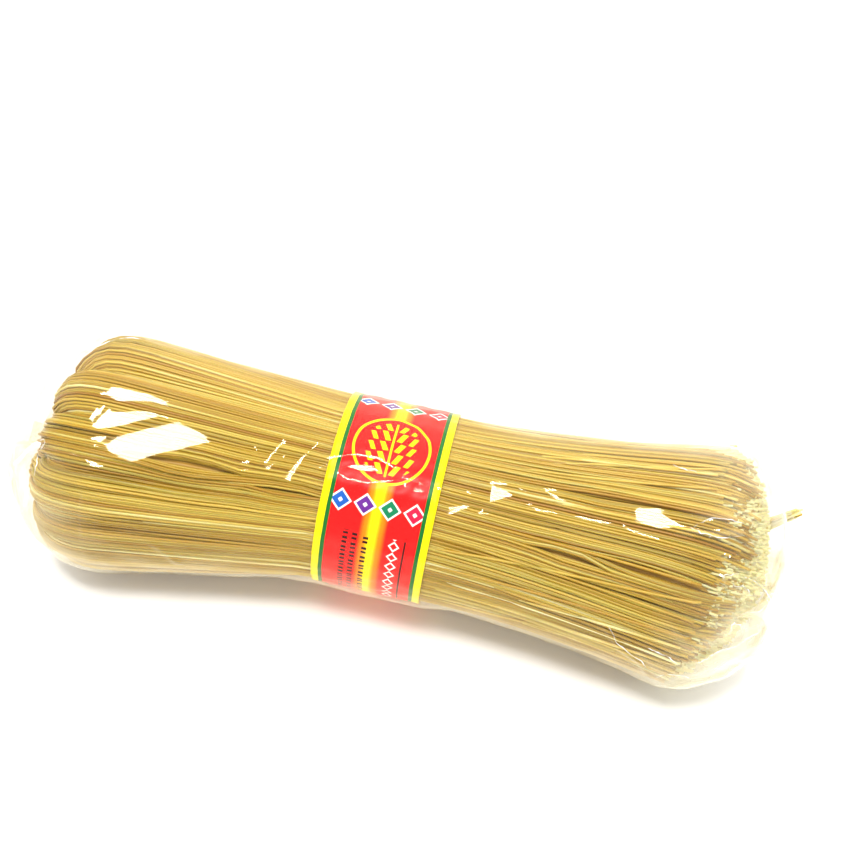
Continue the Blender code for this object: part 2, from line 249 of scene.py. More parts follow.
mass_material, mass_shader = new_material("deep_starch")
mass_coordinates = node_of(mass_material, "ShaderNodeTexCoord")
mass_stretch = node_of(mass_material, "ShaderNodeMapping")
mass_stretch.inputs["Scale"].default_value = MASS_STREAK_SCALE
mass_streaks = node_of(mass_material, "ShaderNodeTexNoise")
mass_streaks.inputs["Scale"].default_value = 1.0
mass_ramp = node_of(mass_material, "ShaderNodeValToRGB")
mass_ramp.color_ramp.elements[0].position = 0.35
mass_ramp.color_ramp.elements[0].color = MASS_COLOURS[0]
mass_ramp.color_ramp.elements[1].position = 0.70
mass_ramp.color_ramp.elements[1].color = MASS_COLOURS[1]
join_nodes(
    mass_material,
    (mass_coordinates, "Object", mass_stretch, "Vector"),
    (mass_stretch, "Vector", mass_streaks, "Vector"),
    (mass_streaks, "Fac", mass_ramp, "Fac"),
    (mass_ramp, "Color", mass_shader, "Base Color"),
)
mass_shader.inputs["Roughness"].default_value = 0.5

strand_mass = wrapped_grid("strand_mass", MASS_ALONG, 3 * MASS_RIBS, mass_place)
strand_mass.data.materials.append(mass_material)
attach(strand_mass, "root")
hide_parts("bagged_vermicelli")


# Hanging strands
# Each strand runs along the bundle from the cut end and turns inward in its hank's rounded
# fold, where the hank hung over the drying rod. Three sheets of them lie over each other, and
# folds of inner hanks fill the middle of the end.

STRAND_DIAMETER = 0.00095
STRAND_SIDES = 5
STRAND_FIRST_SIDE = (0.0, 0.3, 1.0)
STRANDS_PER_SHEET = 285
SHEET_LIFTS = (0.00010, -0.00065, -0.00140)
SHEET_SEED = 40
PLACE_JITTER = 0.2
LEG_FIRST_U = (1.02, 1.34)
LEG_FRONT_REACH = 0.06
LEG_FRONT_PLACE = math.radians(135)
LEG_FRONT_POWER = 0.7
LEG_RECESS_U = 0.085
LEG_RECESS_EVEN = 0.8
LEG_STEPS = 26
LEG_ROUNDING = 3
LOBE_STEPS = 9
LOBE_ROUNDING = 2
STILL_U = -0.2
SHARED_DRIFT = 0.030
SHARED_DRIFT_WAVES = 3
OWN_DRIFT = 0.008
WAVE_SIZE = 0.0035
LIFT_SIZE = 0.00016
TIP_REACH = (0.0000, 0.0022)
REST_CLEARANCE = 0.0008
FOLD_START_X = (-0.1000, -0.0950)
FOLD_CORE_RADIUS = (0.0265, 0.0305)
FOLD_STRETCH = (1.00, 1.30)
FOLD_STRETCH_SPREAD = 0.03
FOLD_SEED = 31
FOLD_SHOULDER_GAP = 0.0005
FOLD_RECESS_SHRINK = 0.18
FOLD_NARROWING = 0.15
FOLD_EDGE_ROUND = 0.12
INNER_FOLDS = 7
INNER_FOLD_RING = (0.0125, 0.0100)
INNER_FOLD_SEED = 61
INNER_FOLD_REACH = 0.0088
INNER_FOLD_REACH_SPREAD = 0.00015
INNER_FOLD_SHEET_STEP = 0.0007
INNER_FOLD_BOW = 0.0018
INNER_FOLD_RAGGED = 0.0003
INNER_FOLD_X = (-0.1085, -0.1060)
INNER_FOLD_STRANDS = 17
INNER_FOLD_LEG = 0.0160
INNER_FOLD_LEAN = 0.45
LENS_GAPS = (
    (-0.0610, 126, 0.016, 0.0021),
    (-0.0300, 132, 0.011, 0.0010),
    (0.0610, 134, 0.012, 0.0013),
    (0.0840, 132, 0.018, 0.0024),
    (0.1010, 133, 0.010, 0.0014),
    (0.0860, 146, 0.014, 0.0012),
    (0.0700, 100, 0.012, 0.0008),
    (-0.0700, 40, 0.014, 0.0014),
    (0.0800, -40, 0.016, 0.0016),
    (-0.0650, 230, 0.014, 0.0014),
)
LENS_SPREAD = 0.0060
LENS_SHEET_FADE = 0.25
NOISE_WAVES = ((1.3, 1.0), (3.1, 0.6), (7.0, 0.3))
NOISE_STRETCH = (0.8, 1.2)
TONE_MIDDLE = 0.49
TONE_SPREAD = 0.17
TONE_DRIFT = 0.06
TONE_DRIFT_RUN = 9
STRAND_COLOURS = (
    (0.00, (0.31, 0.150, 0.005, 1)),
    (0.42, (0.43, 0.255, 0.013, 1)),
    (0.74, (0.61, 0.430, 0.070, 1)),
    (1.00, (0.95, 0.840, 0.420, 1)),
)

fold_draw = np.random.default_rng(FOLD_SEED)
fold_start_x = fold_draw.uniform(*FOLD_START_X, HANKS)
fold_core = fold_draw.uniform(*FOLD_CORE_RADIUS, HANKS)
fold_stretch = fold_draw.uniform(*FOLD_STRETCH, HANKS)
fold_recess = toward(hank_middles - HANK_TWIST, FOLD_RECESS_PLACE)
fold_start_x = fold_start_x + FOLD_RECESS * fold_recess
fold_start_x = np.minimum(fold_start_x, -FOLD_SHOULDER - FOLD_SHOULDER_GAP)
fold_stretch = fold_stretch * (1 - FOLD_RECESS_SHRINK * fold_recess)
fold_out = ((-FOLD_SHOULDER - fold_start_x) / FOLD_DOME) ** (FOLD_DOME_POWER / 2)
fold_start_u = -1 - np.arcsin(fold_out) / (math.pi / 2)


def smooth_noise(rng, u, size):
    """Slow sideways wander along u for many strands at once."""
    total = np.zeros_like(u)
    for frequency, share in NOISE_WAVES:
        phase = rng.uniform(0, FULL_TURN, (len(u), 1))
        stretch = rng.uniform(*NOISE_STRETCH, (len(u), 1))
        total = total + share * np.sin(frequency * stretch * u + phase)
    return size * total


def sweep_strands(name, paths, tones, diameter, sides, material):
    """Round strands along many paths of equal step count, as one mesh with closed ends."""
    count, steps, _ = paths.shape
    radii = np.broadcast_to(diameter, steps) / 2
    tangents = np.gradient(paths, axis=1)
    tangents /= np.linalg.norm(tangents, axis=2, keepdims=True)
    side = np.cross(tangents[:, 0], STRAND_FIRST_SIDE)
    side /= np.linalg.norm(side, axis=1, keepdims=True)
    turns = np.arange(sides) * FULL_TURN / sides
    rings = np.empty((count, steps, sides, 3))
    for step in range(steps):
        along = tangents[:, step]
        side = side - along * np.sum(side * along, axis=1, keepdims=True)
        side /= np.linalg.norm(side, axis=1, keepdims=True)
        other = np.cross(along, side)
        spokes = side[:, None] * np.cos(turns)[:, None] + other[:, None] * np.sin(turns)[:, None]
        rings[:, step] = paths[:, step, None] + spokes * radii[step]
    first = np.arange(count)[:, None, None] * steps * sides
    ring = first + np.arange(steps - 1)[None, :, None] * sides
    corner = np.arange(sides)[None, None, :]
    after = (corner + 1) % sides
    walls = np.stack((ring + corner, ring + after, ring + sides + after, ring + sides + corner), -1)
    ends = np.arange(count)[:, None] * steps * sides + np.arange(sides)
    caps = np.concatenate((ends[:, ::-1], ends + (steps - 1) * sides))
    mesh = bpy.data.meshes.new(name)
    mesh.from_pydata(rings.reshape(-1, 3), [], walls.reshape(-1, 4).tolist() + caps.tolist())
    mesh.shade_smooth()
    tone = mesh.attributes.new("tone", "FLOAT", "POINT")
    tone.data.foreach_set("value", np.repeat(tones.reshape(-1), sides).astype(np.float32))
    mesh.materials.append(material)
    piece = bpy.data.objects.new(name, mesh)
    bpy.context.scene.collection.objects.link(piece)
    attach(piece, "root")
    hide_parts("bagged_vermicelli")
    return piece


def lens_shift(u, angle):
    """Sideways push that opens the narrow lens-shaped gaps between neighbouring strands."""
    x, radius = outline(u)
    total = np.zeros_like(angle)
    for middle_x, degrees, half_length, half_width in LENS_GAPS:
        nearest = np.argmin(np.abs(x - middle_x), axis=1)[:, None]
        there = np.take_along_axis(angle, nearest, axis=1) - math.radians(degrees)
        away = (np.mod(there + math.pi, FULL_TURN) - math.pi) * radius
        length = np.clip(1 - ((x - middle_x) / half_length) ** 2, 0, 1)
        push = np.sign(away) * half_width * length * np.exp(-np.abs(away) / LENS_SPREAD)
        total = total + push / radius
    return total


def fold_axis(x):
    """The bundle's middle in y and z at x on the folded side, where it bends sideways."""
    bend = SIDE_BEND * (-x - WAIST_HALF) / (FOLD_SHOULDER - WAIST_HALF)
    return np.stack((axis_place[1] - bend, axis_place[2] + np.zeros_like(x)), axis=-1)


def lobe_points(start_x, middle, radial, across, core, reach, stretch):
    """A strand's turn round its hank's fold: from the outer leg to the inner one."""
    turn = np.linspace(0, math.pi, LOBE_STEPS + 1)[None, 1:]
    x = start_x[:, None] - (reach * stretch)[:, None] * np.sin(turn)
    out = core[:, None] + reach[:, None] * np.cos(turn)
    side = across[:, None] * (1 - FOLD_NARROWING * (1 - np.cos(turn)) / 2)
    sideways = np.stack((-radial[:, 1], radial[:, 0]), axis=-1)
    flat = middle[:, None] + radial[:, None] * out[..., None] + sideways[:, None] * side[..., None]
    return np.concatenate((x[..., None], flat), axis=-1)


def hanging_paths(rng, sheet, sheet_lift):
    """One sheet of strands: tip, leg along the bundle, and turn into the fold."""
    count = STRANDS_PER_SHEET
    place = np.arange(count) + 0.5 * (sheet % 2) + rng.uniform(-PLACE_JITTER, PLACE_JITTER, count)
    base = np.mod(place * FULL_TURN / count, FULL_TURN)
    hank = np.clip(np.searchsorted(hank_edges, base) - 1, 0, HANKS - 1)
    across_hank = 2 * (base - hank_edges[hank]) / (hank_edges[hank + 1] - hank_edges[hank]) - 1
    front = toward(base, LEG_FRONT_PLACE) ** LEG_FRONT_POWER
    first = rng.uniform(*LEG_FIRST_U, (count, 1)) * (1 + LEG_FRONT_REACH * front[:, None])
    recess = toward(base, CUT_RECESS_PLACE)[:, None]
    first = 1 + (first - 1) * (1 - LEG_RECESS_EVEN * recess) - LEG_RECESS_U * recess
    u = first + (fold_start_u[hank][:, None] - first) * np.linspace(0, 1, LEG_STEPS)[None, :]
    own = rng.normal(0, OWN_DRIFT, (count, 1)) * (u - STILL_U)
    shared = SHARED_DRIFT * np.sin(SHARED_DRIFT_WAVES * base[:, None] + 1.0)
    shared = shared * np.clip(u - STILL_U, 0, None)
    angle = base[:, None] + HANK_TWIST * u + own + shared + smooth_noise(rng, u, WAVE_SIZE)
    angle = angle + lens_shift(u, angle) * (1 - LENS_SHEET_FADE * sheet)
    leg = bundle_skin(u, angle, sheet_lift + smooth_noise(rng, u, LIFT_SIZE))
    start_x = leg[:, -1, 0]
    middle = fold_axis(start_x)
    middle_angle = hank_middles[hank] + HANK_TWIST * fold_start_u[hank]
    radial = np.stack((np.cos(middle_angle), np.sin(middle_angle)), axis=-1)
    start = leg[:, -1, 1:] - middle
    out = np.sum(start * radial, axis=1)
    across = start[:, 1] * radial[:, 0] - start[:, 0] * radial[:, 1]
    stretch = fold_stretch[hank] * (1 - FOLD_EDGE_ROUND * np.abs(across_hank) ** 3)
    stretch = stretch + rng.normal(0, FOLD_STRETCH_SPREAD, count)
    lobe = lobe_points(start_x, middle, radial, across, fold_core[hank], out - fold_core[hank], stretch)
    paths = np.concatenate((leg, lobe), axis=1)
    for _ in range(LEG_ROUNDING):
        paths[:, 1:6] = (paths[:, 0:5] + 2 * paths[:, 1:6] + paths[:, 2:7]) / 4
    for _ in range(LOBE_ROUNDING):
        near = slice(LEG_STEPS - 3, LEG_STEPS + 3)
        before = slice(LEG_STEPS - 4, LEG_STEPS + 2)
        beyond = slice(LEG_STEPS - 2, LEG_STEPS + 4)
        paths[:, near] = (paths[:, before] + 2 * paths[:, near] + paths[:, beyond]) / 4
    along = paths[:, 0] - paths[:, 2]
    along /= np.linalg.norm(along, axis=1, keepdims=True)
    tips = paths[:, 0] + along * rng.uniform(*TIP_REACH, (count, 1))
    return on_rest(np.concatenate((tips[:, None], paths), axis=1), REST_CLEARANCE)


def inner_fold_paths(rng):
    """Folds of the hanks in the middle of the bundle, two sheets each."""
    parts = []
    for number in range(INNER_FOLDS + 1):
        central = number == INNER_FOLDS
        place = number * FULL_TURN / INNER_FOLDS + rng.uniform(-PLACE_JITTER, PLACE_JITTER)
        ring = 0 if central else INNER_FOLD_RING[0]
        ridge = 0 if central else INNER_FOLD_RING[1] * math.cos(place - RIDGE_TILT)
        lean = RIDGE_TILT + math.pi / 2 if central else place + rng.uniform(-1, 1) * INNER_FOLD_LEAN
        count = INNER_FOLD_STRANDS
        start_x = rng.uniform(*INNER_FOLD_X) + INNER_FOLD_BOW * np.linspace(-1, 1, count) ** 2
        start_x = start_x + (0.5 if central else toward(place, FOLD_RECESS_PLACE)) * FOLD_RECESS
        for sheet in range(2):
            start = start_x + rng.normal(0, INNER_FOLD_RAGGED, count)
            middle = fold_axis(start)
            middle = middle + ring * np.array((math.cos(place), math.sin(place)))
            middle = middle + ridge * np.array((math.cos(RIDGE_TILT), math.sin(RIDGE_TILT)))
            radial = np.tile((math.cos(lean), math.sin(lean)), (count, 1))
            across = (np.arange(count) - (count - 1) / 2 + 0.5 * sheet) * STRAND_DIAMETER
            reach = INNER_FOLD_REACH - INNER_FOLD_SHEET_STEP * sheet
            reach = reach + rng.normal(0, INNER_FOLD_REACH_SPREAD, count)
            core = np.zeros(count)
            lobe = lobe_points(start, middle, radial, across, core, reach, np.ones(count))
            begin = lobe[:, :1].copy()
            begin[:, 0, 0] = start + INNER_FOLD_LEG
            parts.append(np.concatenate((begin, lobe), axis=1))
    return np.concatenate(parts)


def strand_tones(rng, paths):
    """Paleness of the starch, its own for each strand and drifting a little along it."""
    own = rng.normal(TONE_MIDDLE, TONE_SPREAD, (len(paths), 1))
    along = np.tile(np.linspace(0, TONE_DRIFT_RUN, paths.shape[1]), (len(paths), 1))
    return np.clip(own + smooth_noise(rng, along, TONE_DRIFT), 0, 1)


starch_material, starch_shader = new_material("dried_starch")
starch_tone = node_of(starch_material, "ShaderNodeAttribute", attribute_name="tone")
starch_ramp = node_of(starch_material, "ShaderNodeValToRGB")
starch_ramp.color_ramp.elements.remove(starch_ramp.color_ramp.elements[1])
for position, colour in STRAND_COLOURS:
    if position > 0:
        stop = starch_ramp.color_ramp.elements.new(position)
    else:
        stop = starch_ramp.color_ramp.elements[0]
    stop.color = colour
join_nodes(
    starch_material,
    (starch_tone, "Fac", starch_ramp, "Fac"),
    (starch_ramp, "Color", starch_shader, "Base Color"),
)
starch_shader.inputs["Roughness"].default_value = 0.36
starch_shader.inputs["Specular IOR Level"].default_value = 0.35
starch_shader.inputs["Subsurface Weight"].default_value = 0.45
starch_shader.inputs["Subsurface Radius"].default_value = (1.0, 0.6, 0.2)
starch_shader.inputs["Subsurface Scale"].default_value = 0.0022


def starch_strands(name, rng, paths, paleness_and_painted_light=0.0, sides=STRAND_SIDES):
    """A piece of starch strands along paths, each with its own tone, raised by a paleness that is
    painted light on the cut ends.
    """
    tones = np.clip(strand_tones(rng, paths) + paleness_and_painted_light, 0, 1)
    sweep_strands(name, paths, tones, STRAND_DIAMETER, sides, starch_material)


for number, sheet_lift in enumerate(SHEET_LIFTS):
    sheet_rng = np.random.default_rng(SHEET_SEED + number)
    sheet_paths = hanging_paths(sheet_rng, number, sheet_lift)
    starch_strands(f"strand_sheet_{number + 1}", sheet_rng, sheet_paths)
inner_rng = np.random.default_rng(INNER_FOLD_SEED)
starch_strands("inner_folds", inner_rng, inner_fold_paths(inner_rng))


# Cut ends
# The bundle is trimmed at one end only, and roughly, so the ends of the inner strands fill the
# face and stand out by uneven amounts.

CUT_ENDS = 6800
CUT_END_ROOT = 0.022
CUT_END_RAGGED = 0.0006
CUT_END_BACK = 0.0003
# Painted light: the cut ends are paler, most of all at their tips, to lighten the cut face, which turns
# from the lamp and is shaded between its ragged tips.
CUT_END_PAINTED_LIGHT = 0.40
CUT_TIP_PAINTED_LIGHT = 0.30
CUT_END_JITTER = 0.00022
GOLDEN_TURN = math.pi * (3 - math.sqrt(5))
CUT_END_STEPS = 4
CUT_END_SIDES = 4
CUT_END_LIMITS = (-0.008, 0.0012)
CUT_END_SWAY = 0.025
CUT_RECESS_POWER = 1.5
CUT_FACE_STEPS = 200
CUT_SEED = 7
CUT_FACE_RADIUS = 0.0385
CUT_FAN = 0.20


def smooth_relief(u, angle):
    """No hanks: they don't show on the cut face."""
    return np.zeros(np.shape(u))


cut_rng = np.random.default_rng(CUT_SEED)
cut_number = np.arange(CUT_ENDS)
cut_radius = CUT_FACE_RADIUS * np.sqrt((cut_number + 0.5) / CUT_ENDS)
cut_radius = cut_radius + cut_rng.normal(0, CUT_END_JITTER, CUT_ENDS)
cut_radius = np.clip(cut_radius, 0, CUT_FACE_RADIUS)
cut_shift = cut_rng.normal(0, CUT_END_JITTER, CUT_ENDS)
cut_angle = cut_number * GOLDEN_TURN + cut_shift / CUT_FACE_RADIUS
face_u = np.linspace(1, 2, CUT_FACE_STEPS)
cut_u = np.interp(cut_radius, outline(face_u)[1][::-1], face_u[::-1])
cut_face = bundle_skin(cut_u, cut_angle, 0.0, smooth_relief) - axis_place
cut_radius = np.hypot(cut_face[:, 1], cut_face[:, 2])
cut_recess = toward(cut_angle, CUT_RECESS_PLACE) * (cut_radius / CUT_RADIUS) ** CUT_RECESS_POWER
cut_face_x = cut_face[:, 0] - CUT_RECESS * cut_recess
cut_uneven = cut_rng.normal(-CUT_END_BACK, CUT_END_RAGGED, CUT_ENDS)
cut_end_x = cut_face_x + np.clip(cut_uneven, *CUT_END_LIMITS)
cut_out = np.linspace(0, 1, CUT_END_STEPS)[None, :]
cut_x = cut_end_x[:, None] + CUT_END_ROOT * (cut_out - 1)
cut_lean = CUT_FAN * (cut_x - cut_face_x[:, None]) / CUT_RADIUS
cut_forward = (cut_x - cut_face_x[:, None] + CUT_END_ROOT)[:, None]
cut_sway = cut_rng.normal(0, CUT_END_SWAY, (CUT_ENDS, 2, 1)) * cut_forward
cut_y = cut_radius[:, None] * (1 + cut_lean) * np.cos(cut_angle)[:, None] + cut_sway[:, 0]
cut_z = cut_radius[:, None] * (1 + cut_lean) * np.sin(cut_angle)[:, None] + cut_sway[:, 1]
cut_paths = on_rest(np.stack((cut_x, cut_y, cut_z), axis=-1) + axis_place, REST_CLEARANCE)
# Painted light: paler tones on the cut ends, rising towards the tips, stand in for light on the shaded
# cut face.
cut_painted_light = CUT_END_PAINTED_LIGHT + CUT_TIP_PAINTED_LIGHT * cut_out
starch_strands("cut_strand_ends", cut_rng, cut_paths, cut_painted_light, CUT_END_SIDES)


# Loose strands
# A few strands have slipped out of line and lie across their neighbours, most of them on the
# cut side. A small bunch is bent off and pokes out of the cut face.

LOOSE_COUNT = 46
LOOSE_STEPS = 22
LOOSE_LIFT = 0.00075
LOOSE_DRIFT = 0.22
LOOSE_FIRST_U = (0.98, 1.10)
LOOSE_LAST_U = (-0.05, 0.45)
LOOSE_TUCK = 0.0016
LOOSE_TUCK_RUN = 0.25
LOOSE_WAVE = 0.012
LOOSE_WAVE_HEIGHT = 0.00015
LOOSE_SEED = 23
BUNCH_COUNT = 34
BUNCH_ROOT = (0.1060, 0.0045, 0.0030)
BUNCH_TIP = (0.1325, 0.0180, 0.0150)
BUNCH_SPREAD = 0.0015
BUNCH_GATHERING = 0.5
BUNCH_UNEVENNESS = 0.10
BUNCH_PALENESS = 0.38
LOOSE_PALENESS = 0.12

loose_rng = np.random.default_rng(LOOSE_SEED)
loose_base = loose_rng.uniform(0, FULL_TURN, (LOOSE_COUNT, 1))
loose_first = loose_rng.uniform(*LOOSE_FIRST_U, (LOOSE_COUNT, 1))
loose_last = loose_rng.uniform(*LOOSE_LAST_U, (LOOSE_COUNT, 1))
loose_u = loose_first + (loose_last - loose_first) * np.linspace(0, 1, LOOSE_STEPS)[None, :]
loose_turn = loose_rng.uniform(-1, 1, (LOOSE_COUNT, 1)) * LOOSE_DRIFT
loose_angle = loose_base + loose_turn * (loose_u - loose_last)
loose_sink = (np.clip((loose_u - loose_last) / LOOSE_TUCK_RUN, 0, 1) - 1) * LOOSE_TUCK
loose_paths = bundle_skin(
    loose_u,
    loose_angle + smooth_noise(loose_rng, loose_u, LOOSE_WAVE),
    LOOSE_LIFT + loose_sink + smooth_noise(loose_rng, loose_u, LOOSE_WAVE_HEIGHT),
)
loose_paths = on_rest(loose_paths, REST_CLEARANCE)
bunch_share = np.linspace(0, 1, LOOSE_STEPS)[None, :, None]
bunch_offset = loose_rng.normal(0, BUNCH_SPREAD, (BUNCH_COUNT, 1, 3)) * (0.4, 1, 1)
bunch_length = 1 + loose_rng.normal(0, BUNCH_UNEVENNESS, (BUNCH_COUNT, 1, 1))
bunch_root = np.array(BUNCH_ROOT) + axis_place
bunch_run = (np.array(BUNCH_TIP) - BUNCH_ROOT) * bunch_share * bunch_length
bunch_paths = bunch_root + bunch_run + bunch_offset * (1 - BUNCH_GATHERING * bunch_share)
loose_paths = np.concatenate((loose_paths, bunch_paths))
loose_paleness = np.repeat((LOOSE_PALENESS, BUNCH_PALENESS), (LOOSE_COUNT, BUNCH_COUNT))
starch_strands("loose_strands", loose_rng, loose_paths, loose_paleness[:, None])


# Paper band
# A strip of glossy printed paper, wound once round the waist and glued to itself underneath.
# Red ground with a golden glow, yellow and green edges, and plain ornaments of no meaning.

BAND_WIDTH = 0.0365
BAND_RADIUS = 0.0324
BAND_PAPER = 0.00018
BAND_LAP = math.radians(24)
BAND_LAP_RISE = 0.0006
BAND_START = math.radians(-100)
BAND_DENTS = 0.00012
BAND_DENT_WAVES = (17, 31)
BAND_DENT_SLANT = 30
BAND_ALONG = 40
BAND_AROUND = 360

band_turn = FULL_TURN + BAND_LAP
bpy.ops.mesh.primitive_grid_add(x_subdivisions=BAND_ALONG, y_subdivisions=BAND_AROUND, size=2)
band = bpy.context.object
band.name = "printed_band"
band_flat = places_of(band)
band_x = band_flat[:, 0] * BAND_WIDTH / 2
band_swept = (band_flat[:, 1] + 1) / 2 * band_turn
band_climb = np.clip((band_swept - FULL_TURN + BAND_LAP / 2) / (BAND_LAP / 2), 0, 1)
band_dent = np.sin(BAND_DENT_WAVES[0] * band_swept + BAND_DENT_SLANT * band_x / BAND_WIDTH)
band_dent = band_dent + np.sin(BAND_DENT_WAVES[1] * band_swept + 1.0)
band_radius = BAND_RADIUS + band_climb * BAND_LAP_RISE + BAND_DENTS * band_dent
band_angle = BAND_START + band_swept
band_points = np.stack(
    (band_x, band_radius * np.cos(band_angle), band_radius * np.sin(band_angle)), axis=-1
)
band.data.vertices.foreach_set("co", (band_points + axis_place).ravel())
band.data.update()
bpy.ops.object.mode_set(mode="EDIT")
bpy.ops.mesh.select_all(action="SELECT")
bpy.ops.mesh.flip_normals()
bpy.ops.object.mode_set(mode="OBJECT")
bpy.ops.object.shade_smooth()
band_wall = band.modifiers.new("paper", "SOLIDIFY")
band_wall.thickness = BAND_PAPER
band_wall.offset = 1.0
bpy.ops.object.modifier_apply(modifier="paper")
band.select_set(False)

PRINT_HALF = BAND_WIDTH / 2 * 1000
PRINT_LENGTH = band_turn * BAND_RADIUS * 1000
YELLOW_EDGE = 15.9
GREEN_EDGE = 14.6
RED_INK = (0.90, 0.006, 0.008, 1)
ORANGE_INK = (1.00, 0.24, 0.004, 1)
YELLOW_INK = (1.00, 0.84, 0.002, 1)
GREEN_INK = (0.002, 0.15, 0.022, 1)
DARK_INK = (0.030, 0.004, 0.006, 1)
WHITE_INK = (0.95, 0.93, 0.90, 1)
GLOW_HALF = 4.6
RING_PLACE = math.radians(96)
RING_RADIUS = 12.2
RING_LINE = 0.42
RING_MARGIN = 2.2
STEM_HALF = 0.35
GRAIN_SLANT = 0.9
GRAIN_STEP = 4.0
GRAINS = ((2.6, 1.7), (6.4, 1.5))
GEM_PLACES = (math.radians(131), math.radians(59))
GEM_MIDDLES = (-12.0, -4.0, 4.0, 12.0)
GEM_INKS = (
    (0.010, 0.110, 0.500, 1),
    (0.130, 0.020, 0.280, 1),
    (0.004, 0.210, 0.090, 1),
    (0.620, 0.010, 0.060, 1),
)
GEM_HALF = 2.9
GEM_BORDER = 0.8
GEM_DOT = 0.8
PANEL_FROM = math.radians(147)
PANEL_TO = math.radians(206)
PANEL_COLUMNS = (-8.4, -5.4, -1.8)
DASH_STEP = 3.3
DASH_STEP_GROWTH = 0.2
DASH_MIDDLE = 1.6
DASH_HALF_WIDTH = 0.85
DASH_HALF_LENGTH = 1.2
DASH_NOTCH = (-0.25, 0.35)
PEARL_COLUMN = 7.4
PEARL_STEP = 3.9
PEARL_HALVES = ((1.9, WHITE_INK), (1.2, RED_INK))
RULE_COLUMN = 10.8
RULE_HALF = 0.28

band_material, band_shader = new_material("printed_paper")
band_links = band_material.node_tree.links
print_place = node_of(band_material, "ShaderNodeTexCoord")
print_size = node_of(band_material, "ShaderNodeMapping")
print_size.inputs["Scale"].default_value = (2 * PRINT_HALF, PRINT_LENGTH, 1)
print_size.inputs["Location"].default_value = (-PRINT_HALF, 0, 0)
print_axes = node_of(band_material, "ShaderNodeSeparateXYZ")
band_links.new(print_place.outputs["UV"], print_size.inputs["Vector"])
band_links.new(print_size.outputs["Vector"], print_axes.inputs["Vector"])
print_across = print_axes.outputs["X"]
print_around = print_axes.outputs["Y"]


def print_math(operation, *values):
    """A Math node of the print; each value is another node's socket or a plain number."""
    node = node_of(band_material, "ShaderNodeMath", operation=operation)
    for value, socket in zip(values, node.inputs):
        if isinstance(value, bpy.types.NodeSocket):
            band_links.new(value, socket)
        else:
            socket.default_value = value
    return node.outputs["Value"]


def printed(below, ink, mask):
    """An ink laid over what is printed below it, where the mask is 1."""
    node = node_of(band_material, "ShaderNodeMixRGB")
    band_links.new(mask, node.inputs["Fac"])
    node.inputs["Color2"].default_value = ink
    if isinstance(below, bpy.types.NodeSocket):
        band_links.new(below, node.inputs["Color1"])
    else:
        node.inputs["Color1"].default_value = below
    return node.outputs["Color"]


def around_at(place):
    """Millimetres round the strip, from its inner end to an angle round the axis."""
    return (place - BAND_START) * BAND_RADIUS * 1000


def between(value, low, high):
    """1 where the value lies between two limits."""
    above = print_math("GREATER_THAN", value, low)
    return print_math("MULTIPLY", above, print_math("LESS_THAN", value, high))


def lozenge(across, around, half):
    """1 inside a square standing on its corner, its middle where both values are 0."""
    away = print_math("ADD", print_math("ABSOLUTE", across), print_math("ABSOLUTE", around))
    return print_math("LESS_THAN", away, half)


from_middle = print_math("ABSOLUTE", print_across)
glow_away = print_math("DIVIDE", from_middle, GLOW_HALF)
glow = node_of(band_material, "ShaderNodeValToRGB")
glow.color_ramp.interpolation = "EASE"
glow.color_ramp.elements[0].color = YELLOW_INK
glow.color_ramp.elements[0].position = 0.10
glow.color_ramp.elements[1].color = RED_INK
glow.color_ramp.elements.new(0.55).color = ORANGE_INK
band_links.new(glow_away, glow.inputs["Fac"])
print_colour = glow.outputs["Color"]

ring_around = print_math("SUBTRACT", print_around, around_at(RING_PLACE))
ring_away = print_math("POWER", print_across, 2.0)
ring_away = print_math("SQRT", print_math("ADD", ring_away, print_math("POWER", ring_around, 2.0)))
print_colour = printed(print_colour, RED_INK, print_math("LESS_THAN", ring_away, RING_RADIUS))
ring_line = print_math("COMPARE", ring_away, RING_RADIUS, RING_LINE)
print_colour = printed(print_colour, YELLOW_INK, ring_line)
in_ring = print_math("LESS_THAN", ring_away, RING_RADIUS - RING_MARGIN)
stem = print_math("MULTIPLY", print_math("LESS_THAN", from_middle, STEM_HALF), in_ring)
print_colour = printed(print_colour, YELLOW_INK, stem)
grain_run = print_math("ADD", ring_around, print_math("MULTIPLY", from_middle, GRAIN_SLANT))
grain_run = print_math("FLOORED_MODULO", grain_run, GRAIN_STEP)
grain_run = print_math("SUBTRACT", grain_run, GRAIN_STEP / 2)
for grain_middle, grain_half in GRAINS:
    grain_across = print_math("SUBTRACT", from_middle, grain_middle)
    grain = print_math("MULTIPLY", lozenge(grain_across, grain_run, grain_half), in_ring)
    print_colour = printed(print_colour, YELLOW_INK, grain)

for gem_place in GEM_PLACES:
    gem_around = print_math("SUBTRACT", print_around, around_at(gem_place))
    for gem_middle, gem_ink in zip(GEM_MIDDLES, GEM_INKS):
        gem_across = print_math("SUBTRACT", print_across, gem_middle)
        for half, ink in ((GEM_HALF + GEM_BORDER, WHITE_INK), (GEM_HALF, gem_ink), (GEM_DOT, WHITE_INK)):
            print_colour = printed(print_colour, ink, lozenge(gem_across, gem_around, half))

